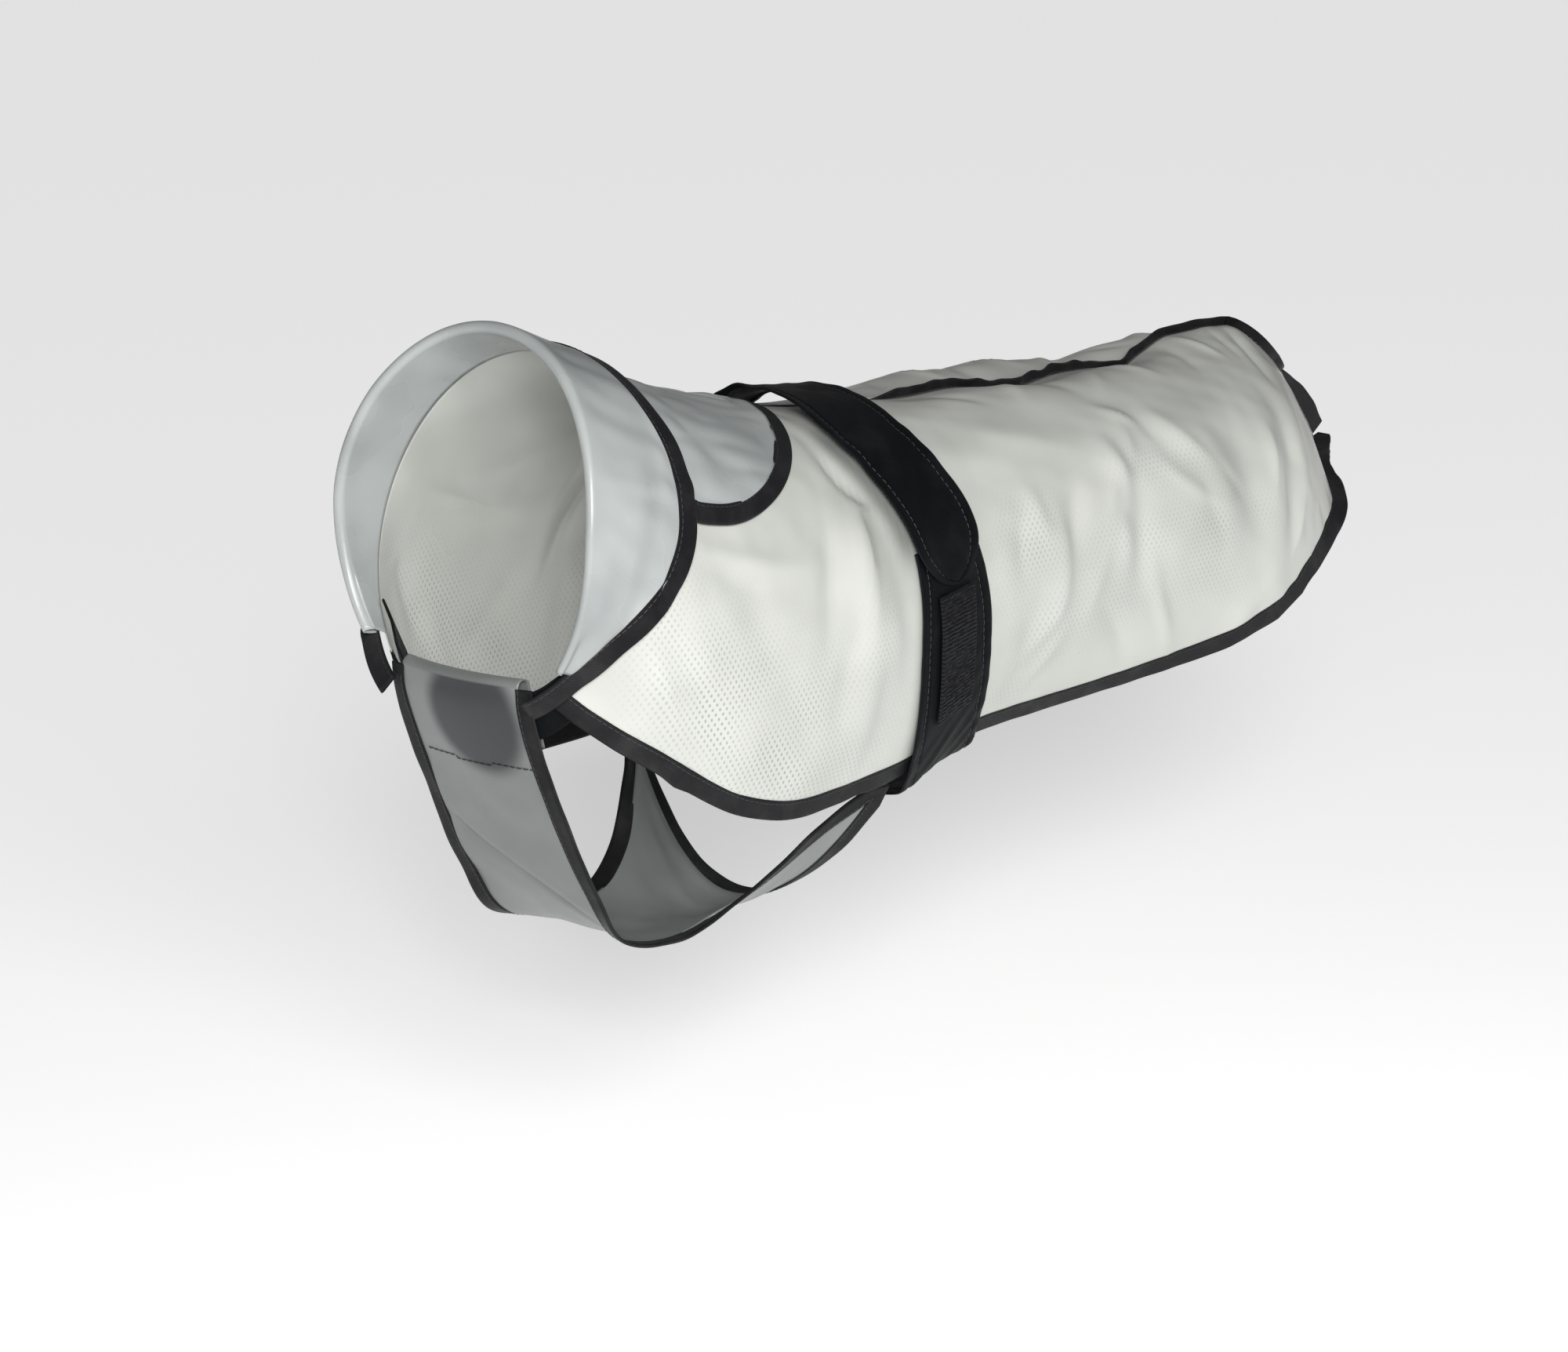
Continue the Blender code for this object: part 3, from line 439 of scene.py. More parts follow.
class Drift(NamedTuple):
    """A smooth, even-handed wander: the mean distance between its highs, which one, its height."""

    size: float
    seed: int
    height: float = 1.0

    def over(self, x: Array, y: Array | float, shift: int = 0) -> Array:
        """Works out the wander over a surface.

        Args:
            x: places one way, in metres.
            y: places the other way, in metres.
            shift: added to the seed.

        Returns:
            Values of about minus one height to one height.
        """
        picks = np.random.default_rng(self.seed + shift)
        total = np.zeros(np.broadcast(x, y).shape)
        for _ in range(7):
            heading = picks.uniform(0, 2 * math.pi)
            wave = 2 * math.pi / (self.size * picks.uniform(0.6, 1.7))
            phase = picks.uniform(0, 2 * math.pi)
            total = total + np.sin(wave * (x * math.cos(heading) + y * math.sin(heading)) + phase)
        return total / 3.0 * self.height


def crease_height(creases: Sequence[Crease], ring: Array, angle: Array, power: float) -> Array:
    """Adds up creases.

    Args:
        creases: the creases.
        ring: ring of each place.
        angle: angle of each place, in degrees.
        power: how suddenly a crease ends at its tips.

    Returns:
        Height at each place, in metres.
    """
    total = np.zeros(np.broadcast(ring, angle).shape)
    for crease in creases:
        ahead, around = on_flank(ring - crease.ring, angle - crease.angle)
        turn = math.radians(crease.turn)
        along = around * math.cos(turn) + ahead * math.sin(turn)
        across = ahead * math.cos(turn) - around * math.sin(turn) - crease.bend * along**2
        sharp = np.abs(across / crease.width) ** (1.5 if power < 3 else 2)
        shape = np.exp(-(np.abs(along / crease.length) ** power) - sharp)
        total = total + crease.height * shape
    return total


def travelled(points: Array) -> Array:
    """Returns the distance walked along the first axis of a grid of points."""
    steps = np.linalg.norm(np.diff(points, axis=0), axis=-1)
    return np.concatenate([np.zeros_like(steps[:1]), np.cumsum(steps, axis=0)])


def finer(values: Array, parts: int) -> Array:
    """Returns the values with each interval cut into equal parts."""
    count = (len(values) - 1) * parts + 1
    return np.interp(np.linspace(0, len(values) - 1, count), np.arange(len(values)), values)


def grid_normals(points: Array, toward: Array) -> Array:
    """Works out the normals of a grid of points.

    Args:
        points: the grid.
        toward: a direction, or one for each point, that the normals roughly follow.

    Returns:
        Unit normals.
    """
    normals = unit(np.cross(np.gradient(points, axis=0), np.gradient(points, axis=1)))
    facing = np.sign(np.median(np.sum(normals * toward, -1)))
    return normals * facing


def outline(grid: Array, inset: int = 0) -> Array:
    """Lists the points down one side of a grid, along its last row and up its other side.

    Args:
        grid: the grid.
        inset: how many rows and columns in from the edge.

    Returns:
        The points, one after another.
    """
    return np.concatenate([grid[:-1, inset], grid[-1 - inset], grid[-2::-1, -1 - inset]])


def add_object(name: str, data: bpy.types.ID) -> Piece:
    """Adds an object to the scene.

    Args:
        name: its name.
        data: what it holds.

    Returns:
        The object.
    """
    made = bpy.data.objects.new(name, data)
    bpy.context.scene.collection.objects.link(made)
    return made


def aim(thing: Piece, right: Array, back: Array, place: Array) -> None:
    """Places a camera or a light.

    Args:
        thing: the camera or light.
        right: direction to its right.
        back: direction away from what it looks at.
        place: where it stands.
    """
    columns = np.stack([right, np.cross(back, right), back, place], -1)
    thing.matrix_world = Matrix([*columns.tolist(), [0, 0, 0, 1]])


# ---- The skin ------------------------------------------------------------------------------------
@dataclass(frozen=True)
class Skin:
    """The form that the coat is filled out to, with its broad folds."""

    rings: Table = RINGS
    puckers: Table = PUCKERS

    def bare(self, ring: Array, angle: Array) -> Array:
        """Works out the form without folds.

        Args:
            ring: rings.
            angle: angles, in degrees.

        Returns:
            Points.
        """
        ring, angle = np.broadcast_arrays(np.asarray(ring, float), np.asarray(angle, float))
        top = np.stack([self.rings.at("top_x", ring), self.rings.at("top_z", ring)], -1)
        low = np.stack([self.rings.at("low_x", ring), self.rings.at("low_z", ring)], -1)
        down, out = np.cos(np.radians(angle)), np.sin(np.radians(angle))
        square = np.where(down > 0, self.rings.at("crown", ring), self.rings.at("belly", ring))
        along = np.sign(down) * np.abs(down) ** (2 / square)
        aside = np.sign(out) * np.abs(out) ** (2 / square)
        middle = (top + low) / 2 + (top - low) / 2 * along[..., None]
        reach = -aside * self.rings.at("half_width", ring)
        return np.stack([middle[..., 0], reach, middle[..., 1]], -1)

    def outward(self, ring: Array, angle: Array) -> Array:
        """Works out which way is out of the coat.

        Args:
            ring: rings.
            angle: angles, in degrees.

        Returns:
            Unit normals.
        """
        along = self.bare(ring + 0.02, angle) - self.bare(ring - 0.02, angle)
        around = self.bare(ring, angle + 1.0) - self.bare(ring, angle - 1.0)
        return unit(np.cross(around, along))

    def under_belt(self, ring: Array, angle: Array) -> Array:
        """Returns 1 where the belt presses the film flat, falling to 0 beside it."""
        centre = BACK_STRAP.at("ring", np.clip(np.abs(angle), 0, 96))
        return 1 - fade(np.abs(ring - centre) * RING_PITCH, BELT_WIDTH / 2, BELT_RELEASE)

    def points(self, ring: Array, angle: Array, lift: Array | float = 0.0) -> Array:
        """Works out the film's inner face, moved out by a lift.

        Args:
            ring: rings.
            angle: angles, in degrees.
            lift: distance moved out.

        Returns:
            Points.
        """
        ring, angle = np.asarray(ring, float), np.asarray(angle, float)
        relief = crease_height(BROAD_FOLDS, ring, angle, 4) * (1 - self.under_belt(ring, angle))
        relief = relief + self.puckers.at("rise", ring) * beside_seam(angle)
        raised = np.asarray(relief + lift)[..., None]
        return self.bare(ring, angle) + self.outward(ring, angle) * raised

    def angle_at_width(self, ring: Array, reach: Array) -> Array:
        """Returns the angle where the form is a given distance from the midline."""
        share = np.clip(reach / self.rings.at("half_width", ring), 0, 1)
        return np.degrees(np.arcsin(share ** (self.rings.at("crown", ring) / 2)))


SKIN = Skin()


# ---- Meshes --------------------------------------------------------------------------------------
@dataclass
class Cloth:
    """A closed wall of cloth round a grid of points in the middle of the wall."""

    name: str
    points: Array
    normals: Array
    wall: Array | float
    loop: bool = False
    marks: dict[str, Array] = field(default_factory=dict)

    def build(self) -> Piece:
        """Makes the mesh with its UVs in metres and its marks as attributes.

        Returns:
            The object, linked to the scene.
        """
        rows, columns = self.points.shape[:2]
        half = (np.broadcast_to(self.wall, (rows, columns)) / 2)[..., None]
        skins = [self.points + self.normals * half, self.points - self.normals * half]
        verts = np.concatenate([skin.reshape(-1, 3) for skin in skins])
        number = np.arange(rows * columns).reshape(rows, columns)
        ahead = np.roll(number, -1, 0) if self.loop else number[1:]
        stay = number if self.loop else number[:-1]
        outer = self.quads(stay[:, :-1], ahead[:, :-1], ahead[:, 1:], stay[:, 1:])
        shift = rows * columns
        faces = [outer, outer[:, ::-1] + shift]
        rims = [(stay[:, 0], ahead[:, 0]), (ahead[:, -1], stay[:, -1])]
        if not self.loop:
            rims += [(number[0, 1:], number[0, :-1]), (number[-1, :-1], number[-1, 1:])]
        for start, end in rims:
            faces.append(self.quads(start, start + shift, end + shift, end))
        faces = np.concatenate(faces)
        middle = outer[len(outer) // 2]
        turn = np.cross(verts[middle[1]] - verts[middle[0]], verts[middle[3]] - verts[middle[0]])
        if np.dot(turn, self.normals.reshape(-1, 3)[middle[0]]) < 0:
            faces = faces[:, ::-1]
        mesh = self.fill(verts, faces)
        self.unwrap(mesh)
        for name, values in self.marks.items():
            layer = mesh.attributes.new(name, "FLOAT", "POINT")
            layer.data.foreach_set("value", np.tile(np.ravel(values), 2).astype(np.float32))
        return add_object(self.name, mesh)

    @staticmethod
    def quads(*corners: Array) -> Array:
        """Returns four-cornered faces from arrays of their corners."""
        return np.stack([corner.ravel() for corner in corners], -1)

    def fill(self, verts: Array, faces: Array) -> bpy.types.Mesh:
        """Makes a smooth mesh.

        Args:
            verts: its points.
            faces: four point numbers for each face.

        Returns:
            The mesh.
        """
        mesh = bpy.data.meshes.new(self.name)
        mesh.vertices.add(len(verts))
        mesh.vertices.foreach_set("co", verts.astype(np.float32).ravel())
        mesh.loops.add(faces.size)
        mesh.loops.foreach_set("vertex_index", faces.astype(np.int32).ravel())
        mesh.polygons.add(len(faces))
        mesh.polygons.foreach_set("loop_start", np.arange(0, faces.size, 4, dtype=np.int32))
        mesh.update(calc_edges=True)
        mesh.shade_smooth()
        mesh.validate()
        return mesh

    def unwrap(self, mesh: bpy.types.Mesh) -> None:
        """Gives the mesh UVs in metres: along the rows and across the columns.

        Args:
            mesh: a mesh with both sides of the wall.
        """
        along = np.mean(travelled(self.points), axis=1)[:, None] + 0 * self.points[..., 0]
        across = travelled(np.swapaxes(self.points, 0, 1)).T
        place = np.tile(np.stack([along.ravel(), across.ravel()], -1), (2, 1))
        layer = mesh.uv_layers.new(name="cloth")
        corner = np.zeros(len(mesh.loops), dtype=np.int32)
        mesh.loops.foreach_get("vertex_index", corner)
        layer.data.foreach_set("uv", place[corner].astype(np.float32).ravel())


@dataclass(frozen=True)
class Stitches:
    """A row of thread bars that dip into the cloth at both ends."""

    pitch: float = 0.0034
    length: float = 0.0026
    radius: float = 0.00024
    squash: float = 0.8  # height of the thread over its width
    sunk: float = 0.45  # share of the radius that the ends lie below the cloth

    def build(self, name: str, path: Array, normals: Array) -> Piece:
        """Sews along a path on the surface.

        Args:
            name: name of the piece.
            path: points of the path.
            normals: normals of the surface at these points.

        Returns:
            One object with all the bars.
        """
        walked = travelled(path)
        count = max(int((walked[-1] - self.length) / self.pitch), 1)
        stations = np.linspace(0, 1, 5)
        where = np.arange(count)[:, None] * self.pitch + self.length * stations[None, :]
        centre = np.stack([np.interp(where, walked, column) for column in path.T], -1)
        out = unit(np.stack([np.interp(where, walked, column) for column in normals.T], -1))
        run = unit(np.gradient(centre, axis=1))
        beside = unit(np.cross(run, out))
        rise = (np.sin(math.pi * stations) - self.sunk) * self.radius
        centre = centre + out * rise[None, :, None]
        turn = np.radians([0, 60, 120, 180, 240, 300])[:, None]
        up = out[:, :, None] * np.sin(turn) * self.squash
        verts = centre[:, :, None] + (up + beside[:, :, None] * np.cos(turn)) * self.radius
        number = np.arange(verts.size // 3).reshape(verts.shape[:3])
        turned = np.roll(number, -1, 2)
        faces = Cloth.quads(number[:, :-1], number[:, 1:], turned[:, 1:], turned[:, :-1])
        blank = Cloth(name, verts.reshape(1, -1, 3), verts.reshape(1, -1, 3), 0.0)
        caps = [number[:, 0, [0, 5, 4, 3]], number[:, 0, [3, 2, 1, 0]]]
        caps += [number[:, -1, [0, 1, 2, 3]], number[:, -1, [3, 4, 5, 0]]]
        return add_object(name, blank.fill(verts.reshape(-1, 3), np.concatenate([faces, *caps])))


# ---- Shader building -----------------------------------------------------------------------------
@dataclass
class Wiring:
    """Adds and links the nodes of a material or a node group."""

    tree: Group

    def add(self, kind: str, inputs: dict | None = None, **settings: object) -> bpy.types.Node:
        """Adds a node.

        Args:
            kind: the node's type.
            inputs: sockets or plain values by socket name or number.
            settings: the node's own settings.

        Returns:
            The node.
        """
        node = self.tree.nodes.new(kind)
        for name, value in settings.items():
            setattr(node, name, value)
        self.fill(node, inputs or {})
        return node

    def fill(self, node: bpy.types.Node, inputs: dict) -> None:
        """Links or sets several sockets of a node."""
        for name, value in inputs.items():
            self.feed(node.inputs[name], value)

    def feed(self, socket: Socket, value: object) -> None:
        """Links a socket, or sets a plain value on it.

        Args:
            socket: the input.
            value: a socket to link, or a value.
        """
        if isinstance(value, Socket):
            self.tree.links.new(value, socket)
        else:
            socket.default_value = value

    def math(self, operation: str, *values: object) -> Socket:
        """Returns the result of a Math node."""
        return self.add("ShaderNodeMath", dict(enumerate(values)), operation=operation).outputs[0]

    def ramp(self, value: object, low: float, high: float) -> Socket:
        """Returns 0 below low and 1 above high, with soft ends."""
        inputs = {"Value": value, "From Min": low, "From Max": high}
        return self.add("ShaderNodeMapRange", inputs, interpolation_type="SMOOTHSTEP").outputs[0]

    def noise(self, vector: object, scale: float, detail: float) -> Socket:
        """Returns the value of a Noise node."""
        inputs = {"Vector": vector, "Scale": scale, "Detail": detail, "Roughness": 0.55}
        return self.add("ShaderNodeTexNoise", inputs).outputs[0]

    def blend(self, share: object, first: object, second: object) -> Socket:
        """Adds a mix of two colours.

        Args:
            share: share of the second.
            first: first colour.
            second: second colour.

        Returns:
            The colour.
        """
        node = self.add("ShaderNodeMix", {0: share}, data_type="RGBA")
        self.fill(node, {6: first, 7: second})
        return node.outputs[2]

    def mark(self, name: str) -> Socket:
        """Returns the value of one of the mesh's marks."""
        return self.add("ShaderNodeAttribute", attribute_name=name).outputs["Fac"]

    def place(self) -> Socket:
        """Returns the place on the object, in metres."""
        return self.add("ShaderNodeTexCoord").outputs["Object"]

    def bump(self, height: object, distance: float, strength: float = 1.0) -> Socket:
        """Returns the normal of a Bump node."""
        inputs = {"Height": height, "Distance": distance, "Strength": strength}
        return self.add("ShaderNodeBump", inputs).outputs[0]


def new_finish(name: str) -> tuple[bpy.types.Material, Wiring, bpy.types.Node]:
    """Starts a material.

    Args:
        name: its name.

    Returns:
        The material, its wiring and its shader.
    """
    made = bpy.data.materials.new(name)
    made.use_nodes = True
    return made, Wiring(made.node_tree), made.node_tree.nodes["Principled BSDF"]


class Effect(Enum):
    """The shared material effects, each one node group."""

    FILM = "film_surface"
    TWILL = "twill_weave"
    NYLON = "nylon_weave"
    PILE = "loop_pile_ribs"


@dataclass(frozen=True)
class EffectGroups:
    """Builds the node groups once, with named inputs and outputs."""

    dot_pitch: float = 0.0034
    dot_rise: float = 1.45  # pitch of the rows of dots up the coat, over that along it
    tape_pitch: float = 0.0008
    nylon_pitch: float = 0.0006
    pile_pitch: float = 0.0021
    pile_wobble: float = 0.0016

    def build(self) -> dict[Effect, Group]:
        """Builds every group.

        Returns:
            The groups by their effects.
        """
        return {
            Effect.FILM: self.film(),
            Effect.TWILL: self.twill(),
            Effect.NYLON: self.nylon(),
            Effect.PILE: self.pile(),
        }

    @staticmethod
    def start(effect: Effect, inputs: dict[str, float], outputs: Sequence[str]) -> tuple:
        """Starts a group.

        Args:
            effect: which effect.
            inputs: names of the inputs and their first values.
            outputs: names of the outputs.

        Returns:
            The group, its wiring, its input node and its output node.
        """
        group = bpy.data.node_groups.new(effect.value, "ShaderNodeTree")
        for name, value in inputs.items():
            socket = group.interface.new_socket(name, in_out="INPUT", socket_type="NodeSocketFloat")
            socket.default_value = value
        for name in outputs:
            group.interface.new_socket(name, in_out="OUTPUT", socket_type="NodeSocketFloat")
        wire = Wiring(group)
        return group, wire, wire.add("NodeGroupInput"), wire.add("NodeGroupOutput")

    def film(self) -> Group:
        """Makes the film's surface: fine crinkles, slow clouds and rows of soft dots.

        Returns:
            The group.
        """
        names = ("Height", "Dots", "Cloud")
        group, wire, given, out = self.start(Effect.FILM, {"Crinkle": 1.0, "Dotted": 1.0}, names)
        place = wire.place()
        broad = wire.noise(place, 34.0, 3.0)
        fine = wire.noise(place, 150.0, 2.0)
        crinkle = wire.math("MULTIPLY_ADD", fine, 0.30, broad)
        split = wire.add("ShaderNodeSeparateXYZ", {0: place})
        across = wire.math("MULTIPLY", split.outputs["X"], 2 * math.pi / self.dot_pitch)
        pitch = self.dot_pitch * self.dot_rise
        along = wire.math("MULTIPLY", split.outputs["Z"], 2 * math.pi / pitch)
        first = wire.math("COSINE", wire.math("ADD", across, along))
        second = wire.math("COSINE", wire.math("SUBTRACT", across, along))
        lattice = wire.math("ADD", first, second)
        dots = wire.math("MULTIPLY", wire.ramp(lattice, 0.35, 1.75), given.outputs["Dotted"])
        raised = wire.math("MULTIPLY", crinkle, given.outputs["Crinkle"])
        height = wire.math("MULTIPLY_ADD", dots, -0.06, raised)
        cloud = wire.noise(place, 17.0, 2.0)
        wire.fill(out, {"Height": height, "Dots": dots, "Cloud": cloud})
        return group

    @staticmethod
    def woven(wire: Wiring, pitch: float, lean: float) -> Socket:
        """Lays out a weave on the UVs, which are in metres.

        Args:
            wire: the group's wiring.
            pitch: distance between threads.
            lean: how far each thread leans over its neighbour, 0 in a plain weave.

        Returns:
            The height of the ribs.
        """
        place = wire.add("ShaderNodeUVMap", uv_map="cloth").outputs[0]
        split = wire.add("ShaderNodeSeparateXYZ", {0: place})
        slanted = wire.math("MULTIPLY_ADD", split.outputs["Y"], lean, split.outputs["X"])
        rib = wire.math("SINE", wire.math("MULTIPLY", slanted, 2 * math.pi / pitch))
        threads = wire.math("MULTIPLY", split.outputs["Y"], 2 * math.pi / pitch)
        return wire.math("MULTIPLY_ADD", wire.math("SINE", threads), 0.35, rib)

    def twill(self) -> Group:
        """Makes the weave of folded tape: fine slanted ribs, slow puckers and paler wear.

        Returns:
            The group.
        """
        names = ("Height", "Wear")
        group, wire, given, out = self.start(Effect.TWILL, {"Ribs": 1.0}, names)
        ribs = wire.math("MULTIPLY", self.woven(wire, self.tape_pitch, 1.0), given.outputs["Ribs"])
        place = wire.place()
        height = wire.math("MULTIPLY_ADD", wire.noise(place, 190.0, 2.0), 2.2, ribs)
        wear = wire.ramp(wire.noise(place, 60.0, 4.0), 0.42, 0.72)
        wire.fill(out, {"Height": height, "Wear": wear})
        return group

    def nylon(self) -> Group:
        """Makes the weave of the belt: close and plain, with soft rumples and rubbed places.

        Returns:
            The group.
        """
        names = ("Height", "Wear")
        group, wire, given, out = self.start(Effect.NYLON, {"Rumple": 1.0}, names)
        ribs = self.woven(wire, self.nylon_pitch, 0.0)
        place = wire.place()
        rumple = wire.math("MULTIPLY", wire.noise(place, 95.0, 3.0), given.outputs["Rumple"])
        height = wire.math("MULTIPLY_ADD", rumple, 3.0, ribs)
        wear = wire.ramp(wire.noise(place, 42.0, 3.0), 0.45, 0.75)
        wire.fill(out, {"Height": height, "Wear": wear})
        return group

    def pile(self) -> Group:
        """Makes the loop pile: cross ribs broken up by fuzzy loops.

        Returns:
            The group.
        """
        names = ("Height", "Wear")
        group, wire, given, out = self.start(Effect.PILE, {"Fuzz": 1.0}, names)
        place = wire.add("ShaderNodeUVMap", uv_map="cloth").outputs[0]
        split = wire.add("ShaderNodeSeparateXYZ", {0: place})
        wobble = wire.math("MULTIPLY", wire.noise(place, 260.0, 2.0), self.pile_wobble)
        shifted = wire.math("ADD", split.outputs["X"], wobble)
        rib = wire.math("SINE", wire.math("MULTIPLY", shifted, 2 * math.pi / self.pile_pitch))
        loops = wire.add("ShaderNodeTexVoronoi", {"Vector": place, "Scale": 1500.0})
        fuzz = wire.math("MULTIPLY", loops.outputs["Distance"], given.outputs["Fuzz"])
        height = wire.math("MULTIPLY_ADD", fuzz, -0.8, rib)
        # The paler colour lies on the crests of the ribs and the darker one in the hollows between
        # them.
        wire.fill(out, {"Height": height, "Wear": wire.ramp(rib, 0.1, 1.0)})
        return group


# ---- Finishes ------------------------------------------------------------------------------------
@dataclass(frozen=True)
class FilmFinish:
    """Cloudy clear film, which reads the marks shade, dots and haze of its mesh."""

    name: str
    pale: tuple
    dull: tuple
    roughness: float = 0.31
    crinkle: float = 1.0
    bump: float = 0.22
    dot_colour: tuple = (0.17, 0.172, 0.17)
    dot_share: float = 0.62
    painted_shade_colour: tuple = (0.018, 0.019, 0.022)

    def material(self, groups: dict[Effect, Group]) -> bpy.types.Material:
        """Makes the material of the film.

        Args:
            groups: the shared effects.

        Returns:
            The material.
        """
        made, wire, shader = new_finish(self.name)
        effect = wire.add("ShaderNodeGroup", node_tree=groups[Effect.FILM])
        wire.fill(effect, {"Crinkle": self.crinkle, "Dotted": wire.mark("dots")})
        cloud = wire.ramp(effect.outputs["Cloud"], 0.30, 0.70)
        colour = wire.blend(cloud, (*self.dull, 1.0), (*self.pale, 1.0))
        dots = wire.math("MULTIPLY", effect.outputs["Dots"], self.dot_share)
        colour = wire.blend(dots, colour, (*self.dot_colour, 1.0))
        # Painted shade: the mark shade mixes the colour toward a near-black grey.
        colour = wire.blend(wire.mark("shade"), colour, (*self.painted_shade_colour, 1.0))
        rough = wire.math("MULTIPLY_ADD", effect.outputs["Cloud"], 0.16, self.roughness - 0.08)
        inputs = {"Base Color": colour, "Roughness": rough, "Alpha": wire.mark("haze")}
        inputs["Normal"] = wire.bump(effect.outputs["Height"], 0.0010, self.bump)
        inputs |= {"IOR": 1.45, "Coat Weight": 0.18, "Coat Roughness": 0.16}
        wire.fill(shader, inputs)
        return made


@dataclass(frozen=True)
class WovenFinish:
    """Black tape, nylon or pile."""

    name: str
    effect: Effect
    control: str
    amount: float
    dark: tuple
    worn: tuple
    roughness: float
    sheen: float
    bump_height: float
    bump: float = 0.8
    gloss: float = 0.14
    sheen_tint: tuple = (0.62, 0.66, 0.72)

    def material(self, groups: dict[Effect, Group]) -> bpy.types.Material:
        """Makes the material of the woven cloth.

        Args:
            groups: the shared effects.

        Returns:
            The material.
        """
        made, wire, shader = new_finish(self.name)
        effect = wire.add("ShaderNodeGroup", node_tree=groups[self.effect])
        wire.fill(effect, {self.control: self.amount})
        wear = effect.outputs["Wear"]
        colour = wire.blend(wear, (*self.dark, 1.0), (*self.worn, 1.0))
        rough = wire.math("MULTIPLY_ADD", wear, -0.10, self.roughness)
        inputs = {"Base Color": colour, "Roughness": rough, "Specular IOR Level": self.gloss}
        inputs["Normal"] = wire.bump(effect.outputs["Height"], self.bump_height, self.bump)
        inputs |= {"Sheen Weight": self.sheen, "Sheen Roughness": 0.45}
        inputs["Sheen Tint"] = (*self.sheen_tint, 1.0)
        wire.fill(shader, inputs)
        return made


@dataclass(frozen=True)
class ThreadFinish:
    """Black polyester sewing thread."""

    name: str = "sewing_thread"
    dark: tuple = (0.014, 0.014, 0.015)
    pale: tuple = (0.036, 0.036, 0.039)
    roughness: float = 0.42

    def material(self) -> bpy.types.Material:
        """Makes the material of the thread, with its twist.

        Returns:
            The material.
        """
        made, wire, shader = new_finish(self.name)
        twist = wire.noise(wire.place(), 2600.0, 1.0)
        colour = wire.blend(twist, (*self.dark, 1.0), (*self.pale, 1.0))
        inputs = {"Base Color": colour, "Roughness": self.roughness}
        wire.fill(shader, inputs | {"Normal": wire.bump(twist, 0.0001)})
        return made


class Slot(Enum):
    """Material slots of the record."""

    FILM = "clear_film"
    TAPE = "binding_tape"
    NYLON = "black_nylon"
    PILE = "loop_pile"


@dataclass
class Wardrobe:
    """Every finish of the coat, made once."""

    film: bpy.types.Material = field(init=False)
    collar_film: bpy.types.Material = field(init=False)
    chest_film: bpy.types.Material = field(init=False)
    tape: bpy.types.Material = field(init=False)
    nylon: bpy.types.Material = field(init=False)
    pile: bpy.types.Material = field(init=False)
    thread: bpy.types.Material = field(init=False)

    def __post_init__(self) -> None:
        """Builds the node groups and the materials."""
        groups = EffectGroups().build()
        film = FilmFinish("film_of_flanks", (0.545, 0.555, 0.52), (0.49, 0.50, 0.465))
        # Painted shade: the collar and flap film and the chest film are darker copies of the flank
        # film, for the hollow behind them and the shade on the chest.
        collar = FilmFinish("film_of_collar_painted_shade", (0.40, 0.42, 0.415), (0.29, 0.31, 0.308), 0.27)
        chest = FilmFinish("film_of_chest_painted_shade", (0.20, 0.212, 0.208), (0.15, 0.162, 0.157), 0.38)
        tape = WovenFinish(
            "folded_tape", Effect.TWILL, "Ribs", 1.0,
            dark=(0.006, 0.006, 0.007), worn=(0.013, 0.013, 0.014),
            roughness=0.46, sheen=0.015, bump_height=0.00012,
        )
        nylon = WovenFinish(
            "belt_nylon", Effect.NYLON, "Rumple", 1.0,
            dark=(0.0024, 0.0028, 0.0038), worn=(0.005, 0.0057, 0.0072),
            roughness=0.48, sheen=0.003, bump_height=0.00006, gloss=0.08,
        )
        pile = WovenFinish(
            "loop_strip_pile", Effect.PILE, "Fuzz", 1.0,
            dark=(0.003, 0.003, 0.0035), worn=(0.012, 0.0125, 0.014),
            roughness=0.70, sheen=0.03, bump_height=0.0003,
        )
        self.film, self.collar_film = film.material(groups), collar.material(groups)
        self.chest_film = chest.material(groups)
        self.tape, self.nylon = tape.material(groups), nylon.material(groups)
        self.pile, self.thread = pile.material(groups), ThreadFinish().material()


def film_marks(
    haze: Array, dots: Array | float = 0.0, shade: Array | float = 0.0
) -> dict[str, Array]:
    """Lists the marks that the film's finish reads, with one value for each point.

    Args:
        haze: how clouded the film is.
        dots: how strongly its soft dots show.
        shade: how far painted shade darkens it, for what lies behind or beside it.

    Returns:
        The marks by name.
    """
    return {"dots": dots + 0 * haze, "shade": shade + 0 * haze, "haze": haze}


def dress(piece: Piece, material: bpy.types.Material, slot: Slot, *nodes: str) -> None:
    """Finishes a piece and joins it to the frame.

    Args:
        piece: the piece.
        material: its finish.
        slot: its slot in the record; not used.
        nodes: the solids that it stands for.
    """
    piece.data.materials.clear()
    piece.data.materials.append(material)
    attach(piece, BODY)
    if nodes:
        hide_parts(*nodes)
    LOG.info("%s: %d faces", piece.name, len(piece.data.polygons))


